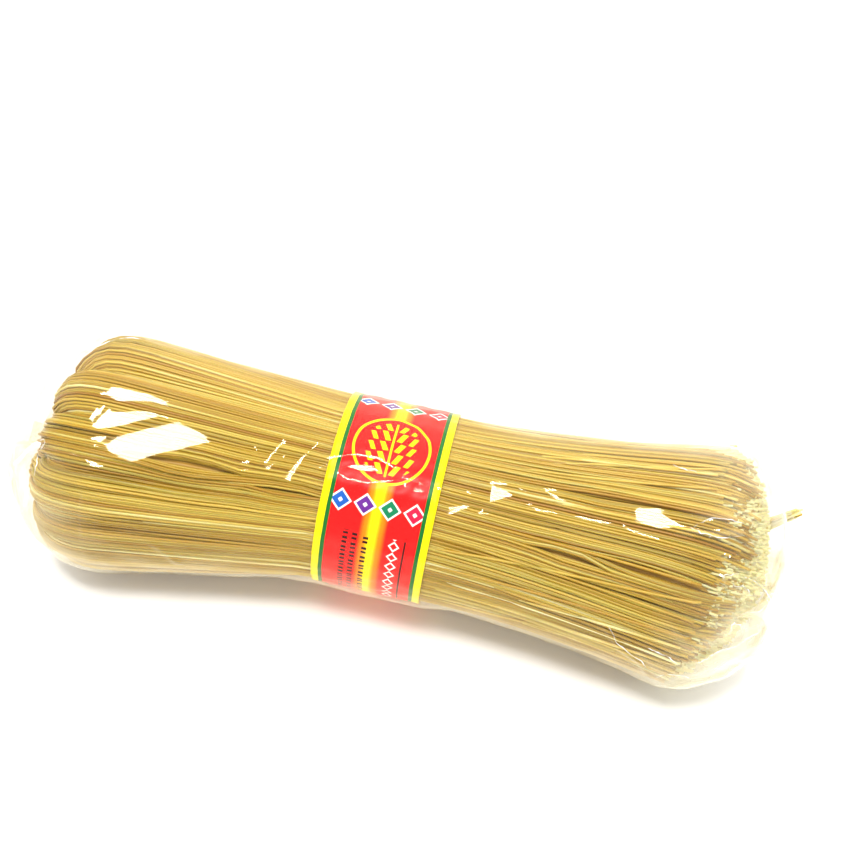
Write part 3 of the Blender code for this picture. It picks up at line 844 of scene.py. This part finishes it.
in_panel = between(print_around, around_at(PANEL_FROM), around_at(PANEL_TO))
for number, column in enumerate(PANEL_COLUMNS):
    column_across = print_math("SUBTRACT", print_across, column)
    column_run = print_math("FLOORED_MODULO", print_around, DASH_STEP + DASH_STEP_GROWTH * number)
    column_run = print_math("SUBTRACT", column_run, DASH_MIDDLE)
    dash_width = between(column_across, -DASH_HALF_WIDTH, DASH_HALF_WIDTH)
    dash_length = between(column_run, -DASH_HALF_LENGTH, DASH_HALF_LENGTH)
    dash = print_math("MULTIPLY", dash_width, dash_length)
    notch = between(column_run, *DASH_NOTCH)
    dash = print_math("MULTIPLY", print_math("SUBTRACT", dash, notch), in_panel)
    print_colour = printed(print_colour, DARK_INK, print_math("MAXIMUM", dash, 0.0))
pearl_across = print_math("SUBTRACT", print_across, PEARL_COLUMN)
pearl_run = print_math("FLOORED_MODULO", print_around, PEARL_STEP)
pearl_run = print_math("SUBTRACT", pearl_run, PEARL_STEP / 2)
for half, ink in PEARL_HALVES:
    pearl = print_math("MULTIPLY", lozenge(pearl_across, pearl_run, half), in_panel)
    print_colour = printed(print_colour, ink, pearl)
rule = print_math("COMPARE", print_across, RULE_COLUMN, RULE_HALF)
rule = print_math("MULTIPLY", rule, in_panel)
print_colour = printed(print_colour, DARK_INK, rule)

print_colour = printed(print_colour, GREEN_INK, print_math("GREATER_THAN", from_middle, GREEN_EDGE))
print_colour = printed(print_colour, YELLOW_INK, print_math("GREATER_THAN", from_middle, YELLOW_EDGE))
band_links.new(print_colour, band_shader.inputs["Base Color"])
band_shader.inputs["Roughness"].default_value = 0.32
band_shader.inputs["Specular IOR Level"].default_value = 0.10
band.data.materials.append(band_material)
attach(band, "root")
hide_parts("paper_band")


# Clear bag
# A tube of thin clear plastic film, pulled over bundle and band, gathered flat and trimmed at
# both ends. It bridges the grooves between hanks. Flat facets and soft folds catch the light,
# and film that is crumpled looks hazy, or milky where it stands loose.

FILM_GAP = 0.0011
FILM_BAND_GAP = 0.0013
FILM_BAND_REACH = 1.6
FILM_CLEARANCE = 0.0001
FILM_FIN_START = 1.55
FILM_FIN_HALF_WIDTH = 0.0335
FILM_FOLD_REACH = 0.0062
FILM_CUT_REACH = 0.0032
FILM_FIN_THICKNESS = 0.0010
FILM_FIN_WAVE = 0.0018
FILM_FIN_PLEATS = 12
FILM_FIN_ROOT_WAVE = 0.3
FILM_FIN_RIPPLE = 0.0005
FILM_FIN_RIPPLES = 31
FILM_FIN_TAPER = 1.15
FILM_FIN_RAGGED = 0.25
FILM_FIN_RAGGED_WAVES = 6
FILM_FIN_BEND = 1.3
FILM_CUT_ROOM = 0.0010
FILM_CUT_ROOM_RUN = 0.3
FILM_CUT_ROOT = 0.0018
FILM_FOLD_ROOT = 0.0006
LOOSE_FILM = 0.0055
LOOSE_PLACE = math.radians(217)
LOOSE_FROM = 1.25
LOOSE_FULL = 1.70
FILM_TENT = 0.0095
FILM_TENT_HALF = 0.0080
FILM_ALONG = 320
FILM_AROUND = 306
FILM_TRUNK_ROWS = 0.52
FILM_TRUNK_U = 0.95
FILM_END_U = 2.35
FILM_FACING_GLOSS = 0.018
FILM_EDGE_POWER = 3.6
FILM_HAZE_GLOSS = 0.16
FILM_HAZE_FROM = 0.095
FILM_HAZE_FULL = 0.125
FILM_FOLD_SHARE = 0.5
FILM_MILK = 0.56
FILM_MILK_FROM = 0.085
FILM_MILK_FULL = 0.112
FILM_MILK_SPREAD = 0.26
FILM_MILK_BREAK = 0.22
BUNCH_CLEARING = (0.007, 0.016)
FILM_CRUMPLE_SIZE = 0.0008
FILM_CRUMPLE_SCALE = 2.2
CREASE_SEED = 5
CREASES = ((0.55, 260, 0.00016), (0.50, 150, 0.00020), (0.9, 420, 0.00010))
CREASES_PER_SIZE = 3
FOLD_CREASING = 1.2
CUT_CREASING = 2.6
CREASING_FROM = 0.80
CREASING_FULL = 1.60
ROOF_PLACE = math.radians(114)
ROOF_HALF = math.radians(8)
FACET_LEAN = -0.009
FACET_LEAN_PER_METRE = -1.72
FACET_SINK = 0.0003
FACET_SKIRT = 0.0030
FACET_REACH = 0.012
FACETS = (
    ((-92, 121), (-83.5, 123), (-73.5, 114.5), (-83.5, 115.5)),
    ((-84, 122.5), (-79.5, 132.5), (-69.5, 123.5), (-57.5, 112.5), (-71, 107.5), (-77.5, 111.5)),
    ((-90, 115.5), (-88.5, 107), (-81.5, 105), (-73, 106.5), (-80, 111)),
    ((-91, 101.5), (-86, 103.5), (-70.5, 98), (-77.5, 96), (-85.5, 97)),
    ((-95.5, 129.5), (-90.5, 131), (-83.5, 131.5), (-90.5, 129)),
    ((-46, 121.5), (-42.5, 117.5), (-41.5, 120), (-44, 121.5)),
    ((-38.5, 119), (-37, 119.5), (-34.5, 110.5), (-34, 107), (-35.5, 109)),
    ((-30.5, 123.5), (-29, 124.5), (-27.5, 121.5), (-25.5, 111), (-25, 108.5), (-27.5, 111.5)),
    ((-13.5, 112.5), (-10.5, 114.5), (-5.5, 114), (-0.5, 111.5), (-4.5, 109), (-9.5, 110)),
    ((21.5, 122), (22, 124), (25, 120.5), (22.5, 121)),
    ((33.5, 116), (33.5, 105.5), (38, 106), (42, 108.5), (37.5, 112.5)),
    ((50.5, 103), (54, 107.5), (58.5, 107), (54, 104)),
    ((80, 104.5), (85.5, 104.5), (96, 109), (86.5, 112.5), (79, 111.5), (79, 106.5)),
    ((104.5, 116.5), (105.5, 115.5), (106, 117), (105, 118)),
)
SOFT_FOLDS = (
    ((-24, 126.5), (-24, 122.5), (-21, 117), (-19.5, 114.5), (-16, 113), (-13.5, 112)),
    ((-24, 126.5), (-21, 119), (-17.5, 114.5)),
    ((-0.5, 112), (4.5, 112), (10, 112.5), (14.5, 115.5), (14, 118), (10, 119), (7, 117.5)),
    ((20.5, 115.5), (23, 112.5), (26, 110), (28.5, 113), (30, 109.5), (32.5, 107)),
    ((42, 108.5), (45, 111.5), (47, 110.5), (48.5, 105.5), (51, 103)),
    ((78.5, 165.5), (84.5, 176.5), (92, 182.5), (96.5, 194.5)),
    ((-67, 170.5), (-64, 175.5), (-60.5, 184.5)),
)
END_FOLDS = (
    ((96, 109.5), (98, 107), (100.5, 105), (104.5, 104), (107, 104)),
    ((96, 109.5), (97.5, 111), (98.5, 111.5), (102, 111.5), (108, 108.5)),
    ((105, 129.5), (105, 126.5), (106.5, 124), (108, 123.5)),
    (
        (110.5, 124.5), (113.5, 125.5), (116.5, 129), (118.5, 133),
        (117.5, 136), (116.5, 138.5), (113, 139.5),
    ),
    ((107.5, 127.5), (110.5, 128.5), (114, 131)),
    ((110, 148.5), (110, 145.5), (111, 144), (112.5, 145), (113, 147.5)),
    ((114, 155), (115.5, 152.5), (117.5, 151.5)),
    ((105.5, 164.5), (108.5, 158.5), (113, 156.5)),
)
SOFT_FOLD_SHAPE = (0.00045, 0.0014)
END_FOLD_SHAPE = (0.00100, 0.0009)

crease_rng = np.random.default_rng(CREASE_SEED)
crease_waves = []
for crease_slant, crease_rate, crease_height in CREASES:
    for _ in range(CREASES_PER_SIZE):
        crease_turn = crease_rng.uniform(0, FULL_TURN)
        direction = np.array((
            crease_rng.uniform(-crease_slant, crease_slant),
            math.cos(crease_turn),
            math.sin(crease_turn),
        ))
        crease_waves.append((direction * crease_rate / FULL_TURN, crease_rng.uniform(), crease_height))
all_u = np.linspace(-2, 2, 2001)
all_x = outline(all_u)[0]


def hank_cover(u, angle):
    """Height of the taut film over the hanks: it follows their backs, not their grooves."""
    fold_share, cut_share = flare_shares(outline(u)[0])
    place = np.mod(angle - HANK_TWIST * u, FULL_TURN)
    rise = np.interp(place, hank_middles, hank_rises, period=FULL_TURN)
    fade = np.clip((2 - np.abs(u)) / RIDGE_FADE, 0, 1)
    return rise * (fold_share + cut_share) * fade


def crease_heights(points):
    """Flat facets that meet in sharp creases, as crumpled film has."""
    total = np.zeros(len(points))
    for direction, phase, height in crease_waves:
        run = points @ direction + phase
        total = total + height * np.abs(2 * (run - np.floor(run + 0.5)))
    return total


def soft_fold_heights(x, angle, routes, height, width):
    """Soft folds of the film along routes, each a rounded ridge of a height and width."""
    total = np.zeros(len(x))
    around = np.mod(angle - RIDGE_TILT, FULL_TURN) + RIDGE_TILT
    for route in routes:
        places = np.array(route, float)
        places = np.stack((places[:, 0] / 1000, np.radians(places[:, 1])), axis=-1)
        nearest = np.full(len(x), 1.0)
        for start, stop in zip(places[:-1], places[1:]):
            run = (stop - start) * (1, FOLD_RADIUS)
            here = np.stack((x - start[0], (around - start[1]) * FOLD_RADIUS), axis=-1)
            share = np.clip(here @ run / (run @ run), 0, 1)
            nearest = np.minimum(nearest, np.linalg.norm(here - share[:, None] * run, axis=1))
        total = total + height * np.exp(-((nearest / width) ** 2))
    return total


def roof_heights(angle, radius):
    """Two flat strips that meet in a long crease on top of the pack."""
    away = np.abs(np.mod(angle - ROOF_PLACE + math.pi, FULL_TURN) - math.pi)
    return np.where(away < ROOF_HALF, radius * (1 / np.cos(ROOF_HALF - away) - 1), 0)


def film_lift(u):
    """Clearance of the smooth film over the bundle, with more over the band and the cut tips."""
    over_band = np.clip(2 * (FILM_BAND_REACH - np.abs(outline(u)[0]) / (BAND_WIDTH / 2)), 0, 1)
    cut_room = FILM_CUT_ROOM * np.clip((u - 1.0) / FILM_CUT_ROOM_RUN, 0, 1)
    return FILM_GAP + FILM_BAND_GAP * over_band + cut_room


def eased(share):
    """A share between 0 and 1 that starts and ends gently."""
    return share * share * (3 - 2 * share)


def loose_film(u, angle):
    """How far the bag stands off the lower side of the cut end."""
    share = np.clip((u - LOOSE_FROM) / (LOOSE_FULL - LOOSE_FROM), 0, 1)
    return LOOSE_FILM * eased(share) * (1 + np.cos(angle - LOOSE_PLACE)) / 2


def flatten_facets(points, smooth):
    """Presses the film flat inside each facet, just clear of the strands under it."""
    points = points.copy()
    for corners in FACETS:
        places = np.array(corners, float)
        u = np.interp(places[:, 0] / 1000, all_x, all_u)
        spots = bundle_skin(u, np.radians(places[:, 1]), film_lift(u), hank_cover)
        middle = spots.mean(axis=0)
        lean = FACET_LEAN + FACET_LEAN_PER_METRE * middle[0]
        normal = np.array((lean, math.cos(ROOF_PLACE), math.sin(ROOF_PLACE)))
        normal /= np.linalg.norm(normal)
        along = np.array((1.0, 0, 0)) - normal * normal[0]
        along /= np.linalg.norm(along)
        plane = np.stack((along, np.cross(normal, along)), axis=-1)
        flat = (spots - middle) @ plane
        turned = flat[:, 0] * np.roll(flat[:, 1], -1) - flat[:, 1] * np.roll(flat[:, 0], -1)
        if turned.sum() < 0:
            flat = flat[::-1]
        edges = np.roll(flat, -1, axis=0) - flat
        outward = np.stack((edges[:, 1], -edges[:, 0]), axis=-1)
        outward /= np.linalg.norm(outward, axis=1, keepdims=True)
        here = (points - middle) @ plane
        outside = ((here[:, None] - flat[None]) * outward[None]).sum(axis=2).max(axis=1)
        near_side = (points - middle) @ normal > -FACET_REACH
        inside = near_side & (outside < 0)
        if not inside.any():
            continue
        rise = ((smooth[inside] - middle) @ normal).max() - FACET_SINK
        height = (points - middle) @ normal - rise
        weight = np.clip(1 - outside / FACET_SKIRT, 0, 1) * near_side
        points = points - (weight * height)[:, None] * normal
    return points


def end_x(distance, side):
    """x of a rounded end at a distance from the axis along the ridge."""
    u = side * np.linspace(1, 2, CUT_FACE_STEPS)
    x, radius = outline(u)
    spread = np.where(u < -1, RIDGE_HALF * (1 - radius / FOLD_RADIUS), 0)
    return np.interp(distance, (radius + spread)[::-1], x[::-1])


def film_fin(side, angle, out):
    """The flat gathered end of the bag, waved by its pleats; out runs from 0 to 1."""
    swing = angle - RIDGE_TILT
    distance = FILM_FIN_HALF_WIDTH * np.cos(swing)
    share = np.cos(swing)
    wave = FILM_FIN_WAVE * np.sin(FILM_FIN_PLEATS * share + side)
    wave = wave * (FILM_FIN_ROOT_WAVE + (1 - FILM_FIN_ROOT_WAVE) * out)
    wave = wave + FILM_FIN_RIPPLE * np.sin(FILM_FIN_RIPPLES * share) * out
    across = wave + FILM_FIN_THICKNESS * np.sin(swing) * (FILM_FIN_TAPER - out)
    root, full_reach, bend = FILM_CUT_ROOT, FILM_CUT_REACH, 0.0
    if side < 0:
        root, full_reach, bend = FILM_FOLD_ROOT, FILM_FOLD_REACH, SIDE_BEND * FILM_FIN_BEND
    reach = full_reach * (1 + FILM_FIN_RAGGED * np.sin(FILM_FIN_RAGGED_WAVES * share + side)) * out
    x = end_x(np.abs(distance), side) + side * (root + reach)
    y = distance * math.cos(RIDGE_TILT) - across * math.sin(RIDGE_TILT) - bend
    z = distance * math.sin(RIDGE_TILT) + across * math.cos(RIDGE_TILT)
    return np.stack((x, y, z), axis=-1) + axis_place


def film_place(share, angle, side):
    """Half of the film: over the bundle up to the fin's start, then into the fin."""
    along = (share + 1) / 2
    trunk = FILM_TRUNK_U * along / FILM_TRUNK_ROWS
    end_share = (along - FILM_TRUNK_ROWS) / (1 - FILM_TRUNK_ROWS)
    end = FILM_TRUNK_U + (FILM_END_U - FILM_TRUNK_U) * end_share
    u = side * np.where(along < FILM_TRUNK_ROWS, trunk, end)
    on_bundle = np.clip(u, -2, 2)
    x, radius = outline(on_bundle)
    lift = film_lift(on_bundle) + loose_film(on_bundle, angle)
    base = bundle_skin(on_bundle, angle, lift, hank_cover)
    ends = np.clip((np.abs(u) - CREASING_FROM) / (CREASING_FULL - CREASING_FROM), 0, 1)
    heights = crease_heights(base) * (1 + (FOLD_CREASING if side < 0 else CUT_CREASING) * ends)
    heights = heights + soft_fold_heights(x, angle, SOFT_FOLDS, *SOFT_FOLD_SHAPE)
    heights = heights + soft_fold_heights(x, angle, END_FOLDS, *END_FOLD_SHAPE)
    heights = heights + roof_heights(angle, radius)
    body = flatten_facets(bundle_skin(on_bundle, angle, lift + heights, hank_cover), base)
    fin = film_fin(side, angle, np.clip((np.abs(u) - 2.0) / (FILM_END_U - 2.0), 0, 1))
    blend = np.clip((np.abs(u) - FILM_FIN_START) / (2.0 - FILM_FIN_START), 0, 1)
    blend = eased(blend)[:, None]
    whole = body * (1 - blend) + fin * blend
    tent_way = np.array(BUNCH_TIP) - BUNCH_ROOT
    tent_way /= np.linalg.norm(tent_way)
    tent_top = np.array(BUNCH_TIP) + axis_place - tent_way * FILM_TENT
    near = np.linalg.norm(whole - tent_top, axis=1, keepdims=True) / FILM_TENT_HALF
    whole = whole + tent_way * FILM_TENT * np.exp(-(near**2))
    return on_rest(whole, FILM_CLEARANCE)


film_material, film_shader = new_material("clear_film")
film_clear = node_of(film_material, "ShaderNodeBsdfTransparent")
# Faint warm tint of what shows through the film: painted glow of the golden strands, not a colour of the
# clear film.
film_clear.inputs["Color"].default_value = (0.99, 0.985, 0.965, 1)
film_facing = node_of(film_material, "ShaderNodeLayerWeight")
film_facing.inputs["Blend"].default_value = 0.5
film_edge = node_of(film_material, "ShaderNodeMath", operation="POWER")
film_edge.inputs[1].default_value = FILM_EDGE_POWER
film_gloss = node_of(film_material, "ShaderNodeMath", operation="MULTIPLY_ADD")
film_gloss.inputs[1].default_value = 1 - FILM_FACING_GLOSS
film_gloss.inputs[2].default_value = FILM_FACING_GLOSS
film_haze = node_of(film_material, "ShaderNodeAttribute", attribute_name="haze")
film_veil = node_of(film_material, "ShaderNodeMath", operation="MULTIPLY_ADD", use_clamp=True)
film_veil.inputs[1].default_value = FILM_HAZE_GLOSS
film_milk = node_of(film_material, "ShaderNodeAttribute", attribute_name="milk")
film_cover = node_of(film_material, "ShaderNodeMath", operation="ADD", use_clamp=True)
film_mirror = node_of(film_material, "ShaderNodeMath", operation="MULTIPLY_ADD", use_clamp=True)
film_mirror.inputs[1].default_value = -2.5
film_mirror.inputs[2].default_value = 1.0
film_mix = node_of(film_material, "ShaderNodeMixShader")
# Cream tint of the film's gloss and of its milky parts: painted reflection of the golden strands in the
# film.
film_shader.inputs["Base Color"].default_value = (1, 0.93, 0.70, 1)
film_shader.inputs["Roughness"].default_value = 0.06
join_nodes(
    film_material,
    (film_facing, "Facing", film_edge, 0),
    (film_edge, "Value", film_gloss, 0),
    (film_haze, "Fac", film_veil, 0),
    (film_gloss, "Value", film_veil, 2),
    (film_veil, "Value", film_cover, 0),
    (film_milk, "Fac", film_cover, 1),
    (film_cover, "Value", film_mix, "Fac"),
    (film_milk, "Fac", film_mirror, 0),
    (film_mirror, "Value", film_shader, "Metallic"),
    (film_clear, "BSDF", film_mix, 1),
    (film_shader, "BSDF", film_mix, 2),
    (film_mix, "Shader", film_material.node_tree.nodes["Material Output"], "Surface"),
)

for film_name, film_side in (("film_over_fold", -1), ("film_over_cut_end", 1)):
    film = wrapped_grid(
        film_name,
        FILM_ALONG,
        FILM_AROUND,
        lambda share, angle: film_place(share, angle, film_side),
    )
    film_points = places_of(film)
    film_out = film_side * film_points[:, 0]
    film_share = FILM_FOLD_SHARE if film_side < 0 else 1.0
    film_crumple = crease_heights(film_points * FILM_CRUMPLE_SCALE) / FILM_CRUMPLE_SIZE
    film_angle = np.arctan2(film_points[:, 2] - axis_place[2], film_points[:, 1] - axis_place[1])
    bunch_distance = np.linalg.norm(film_points - BUNCH_TIP - axis_place, axis=1)
    clearing = np.interp(bunch_distance, BUNCH_CLEARING, (0, 1)) * film_share
    haze = np.interp(film_out, (FILM_HAZE_FROM, FILM_HAZE_FULL), (0, 1)) * film_crumple
    milk = FILM_MILK_SPREAD + (1 - FILM_MILK_SPREAD) * toward(film_angle, LOOSE_PLACE)
    milk = milk * np.interp(film_out, (FILM_MILK_FROM, FILM_MILK_FULL), (0, FILM_MILK))
    milk = milk * np.clip(film_crumple - FILM_MILK_BREAK, 0, 1)
    for film_look, values in (("milk", milk), ("haze", haze)):
        look = film.data.attributes.new(film_look, "FLOAT", "POINT")
        look.data.foreach_set("value", (values * clearing).astype(np.float32))
    film.data.materials.append(film_material)
    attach(film, "root")
    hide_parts("bagged_vermicelli")


# Pinched creases
# Where the loose film at the bag's ends is pinched double, thin curved ridges stand on it. Their white
# colour is painted highlight: it stands in for the glints of the crumpled film along those lines.

CREASE_ROUTES = END_FOLDS + (
    ((92, 167), (97, 167.5), (101.5, 170.5)),
    ((78.5, 163), (82, 171.5), (87, 177), (92, 179.5), (94.5, 187)),
    ((98, 191), (101.5, 180.5), (104.5, 180), (109, 187)),
    ((118.5, 129.5), (120.5, 130), (122.5, 130)),
    ((120, 136.5), (121, 139), (122.5, 143)),
    ((88, 78.5), (92.5, 81), (95.5, 84)),
    ((-100.5, 79.5), (-98.5, 76), (-96, 72), (-91.5, 68), (-85.5, 62)),
    ((-105, 123.5), (-103.5, 123), (-104, 128.5), (-104, 134.5), (-104, 140.5)),
)
CREASE_DIAMETER = 0.00042
CREASE_THINNEST = 0.35
CREASE_WIGGLE = 0.00035
CREASE_WIGGLE_RUN = 5
CREASE_LINE_SEED = 83
CREASE_SWELLS = 17
CREASE_TAPER = (0.04, 0.96)
CREASE_STEPS = 33
CREASE_SIDES = 6
CREASE_ROUNDING = 8

crease_draw = np.random.default_rng(CREASE_LINE_SEED)


def crease_path(route):
    """A smooth line over the film through a route's places."""
    places = np.array(route, float)
    spread = np.linspace(0, len(places) - 1, CREASE_STEPS)
    x = np.interp(spread, np.arange(len(places)), places[:, 0]) / 1000
    angle = np.radians(np.interp(spread, np.arange(len(places)), places[:, 1]))
    for _ in range(CREASE_ROUNDING):
        x[1:-1] = (x[:-2] + 2 * x[1:-1] + x[2:]) / 4
        angle[1:-1] = (angle[:-2] + 2 * angle[1:-1] + angle[2:]) / 4
    wander_run = np.tile(np.linspace(0, CREASE_WIGGLE_RUN, CREASE_STEPS), (2, 1))
    wander = smooth_noise(crease_draw, wander_run, CREASE_WIGGLE)
    x = x + wander[0]
    angle = angle + wander[1] / FOLD_RADIUS
    side = 1 if x[0] > 0 else -1
    u = np.abs(np.interp(x, all_x, all_u))
    along = np.interp(u, (0, FILM_TRUNK_U, FILM_END_U), (0, FILM_TRUNK_ROWS, 1))
    return film_place(2 * along - 1, angle, side)


crease_highlight_material, crease_highlight_shader = new_material("pinched_film_painted_highlight")
# Near-white colour, broken into pieces by noise: painted highlight along the pinched creases.
crease_highlight_shader.inputs["Base Color"].default_value = (0.97, 0.965, 0.94, 1)
crease_highlight_shader.inputs["Roughness"].default_value = 0.22
crease_place = node_of(crease_highlight_material, "ShaderNodeTexCoord")
crease_highlight_breaks = node_of(crease_highlight_material, "ShaderNodeTexNoise")
crease_highlight_breaks.inputs["Scale"].default_value = 260
crease_cover = node_of(crease_highlight_material, "ShaderNodeMath", operation="MULTIPLY_ADD", use_clamp=True)
crease_cover.inputs[1].default_value = 4.5
crease_cover.inputs[2].default_value = -1.6
crease_clear = node_of(crease_highlight_material, "ShaderNodeBsdfTransparent")
crease_mix = node_of(crease_highlight_material, "ShaderNodeMixShader")
join_nodes(
    crease_highlight_material,
    (crease_place, "Object", crease_highlight_breaks, "Vector"),
    (crease_highlight_breaks, "Fac", crease_cover, 0),
    (crease_cover, "Value", crease_mix, "Fac"),
    (crease_clear, "BSDF", crease_mix, 1),
    (crease_highlight_shader, "BSDF", crease_mix, 2),
    (crease_mix, "Shader", crease_highlight_material.node_tree.nodes["Material Output"], "Surface"),
)
crease_paths = np.stack([crease_path(route) for route in CREASE_ROUTES])
crease_swell = 0.5 + 0.5 * np.sin(np.linspace(0, CREASE_SWELLS, CREASE_STEPS) + 0.8)
crease_taper = np.sin(np.linspace(*CREASE_TAPER, CREASE_STEPS) * math.pi) ** 0.5
crease_taper = crease_taper * (CREASE_THINNEST + (1 - CREASE_THINNEST) * crease_swell)
sweep_strands(
    "film_creases",
    crease_paths,
    np.ones(crease_paths.shape[:2]),
    CREASE_DIAMETER * crease_taper,
    CREASE_SIDES,
    crease_highlight_material,
)


# Studio
# A plain pale floor, a sky that brightens softly to one side, one near-overhead lamp and the
# photograph's steep viewing angle.

CAMERA_AZIMUTH = math.radians(5.13)
CAMERA_ELEVATION = math.radians(52)
CAMERA_ROLL = math.radians(8.4)
CAMERA_DISTANCE = 0.42
METRES_PER_PIXEL = 0.00034
FRAME_PIXELS = 850
SENSOR_WIDTH = 36.0
BAND_PIXEL = (387.5, 497.0)
FLOOR_HALF = 3.0
LAMP_PLACE = (-0.11, -0.30, 1.31)
LAMP_SIZE = 0.25
LAMP_POWER = 14.0
SKY_STRENGTH = 0.43
SKY_BRIGHT_WAY = (0.0, 0.65, 0.76)
SKY_BRIGHT_STRENGTH = 1.7

camera_back = Vector((
    math.sin(CAMERA_AZIMUTH) * math.cos(CAMERA_ELEVATION),
    -math.cos(CAMERA_AZIMUTH) * math.cos(CAMERA_ELEVATION),
    math.sin(CAMERA_ELEVATION),
))
camera_turn = (-camera_back).to_track_quat("-Z", "Y") @ Quaternion((0, 0, 1), CAMERA_ROLL)
camera_right = camera_turn @ Vector((1, 0, 0))
camera_up = camera_turn @ Vector((0, 1, 0))
pixels_right = FRAME_PIXELS / 2 - BAND_PIXEL[0]
pixels_up = BAND_PIXEL[1] - FRAME_PIXELS / 2
aim = Vector(axis_place) + METRES_PER_PIXEL * (camera_right * pixels_right + camera_up * pixels_up)
bpy.ops.object.camera_add(location=aim + camera_back * CAMERA_DISTANCE)
camera = bpy.context.object
camera.rotation_euler = camera_turn.to_euler()
camera.data.sensor_width = SENSOR_WIDTH
camera.data.lens = SENSOR_WIDTH * CAMERA_DISTANCE / METRES_PER_PIXEL / FRAME_PIXELS
bpy.context.scene.camera = camera

bpy.ops.mesh.primitive_plane_add(size=2 * FLOOR_HALF, location=(0, 0, 0))
floor = bpy.context.object
floor.name = "floor"
floor_material, floor_shader = new_material("pale_floor")
floor_shader.inputs["Base Color"].default_value = (0.93, 0.93, 0.92, 1)
floor_shader.inputs["Roughness"].default_value = 0.8
floor.data.materials.append(floor_material)

bpy.ops.object.light_add(type="AREA", location=LAMP_PLACE)
lamp = bpy.context.object
lamp.data.shape = "SQUARE"
lamp.data.size = LAMP_SIZE
lamp.data.energy = LAMP_POWER
lamp.rotation_euler = (-lamp.location).to_track_quat("-Z", "Y").to_euler()

sky = bpy.data.worlds.new("studio_sky")
sky.use_nodes = True
sky_place = node_of(sky, "ShaderNodeTexCoord")
sky_facing = node_of(sky, "ShaderNodeVectorMath", operation="DOT_PRODUCT")
sky_facing.inputs[1].default_value = SKY_BRIGHT_WAY
sky_upper = node_of(sky, "ShaderNodeMath", operation="MAXIMUM")
sky_soft = node_of(sky, "ShaderNodeMath", operation="POWER")
sky_soft.inputs[1].default_value = 2.0
sky_strength = node_of(sky, "ShaderNodeMath", operation="MULTIPLY_ADD")
sky_strength.inputs[1].default_value = SKY_BRIGHT_STRENGTH
sky_strength.inputs[2].default_value = SKY_STRENGTH
sky_light = sky.node_tree.nodes["Background"]
sky_light.inputs["Color"].default_value = (1.0, 0.99, 0.97, 1)
join_nodes(
    sky,
    (sky_place, "Generated", sky_facing, 0),
    (sky_facing, "Value", sky_upper, 0),
    (sky_upper, "Value", sky_soft, 0),
    (sky_soft, "Value", sky_strength, 0),
    (sky_strength, "Value", sky_light, "Strength"),
)
bpy.context.scene.world = sky
bpy.context.scene.view_settings.view_transform = "Standard"
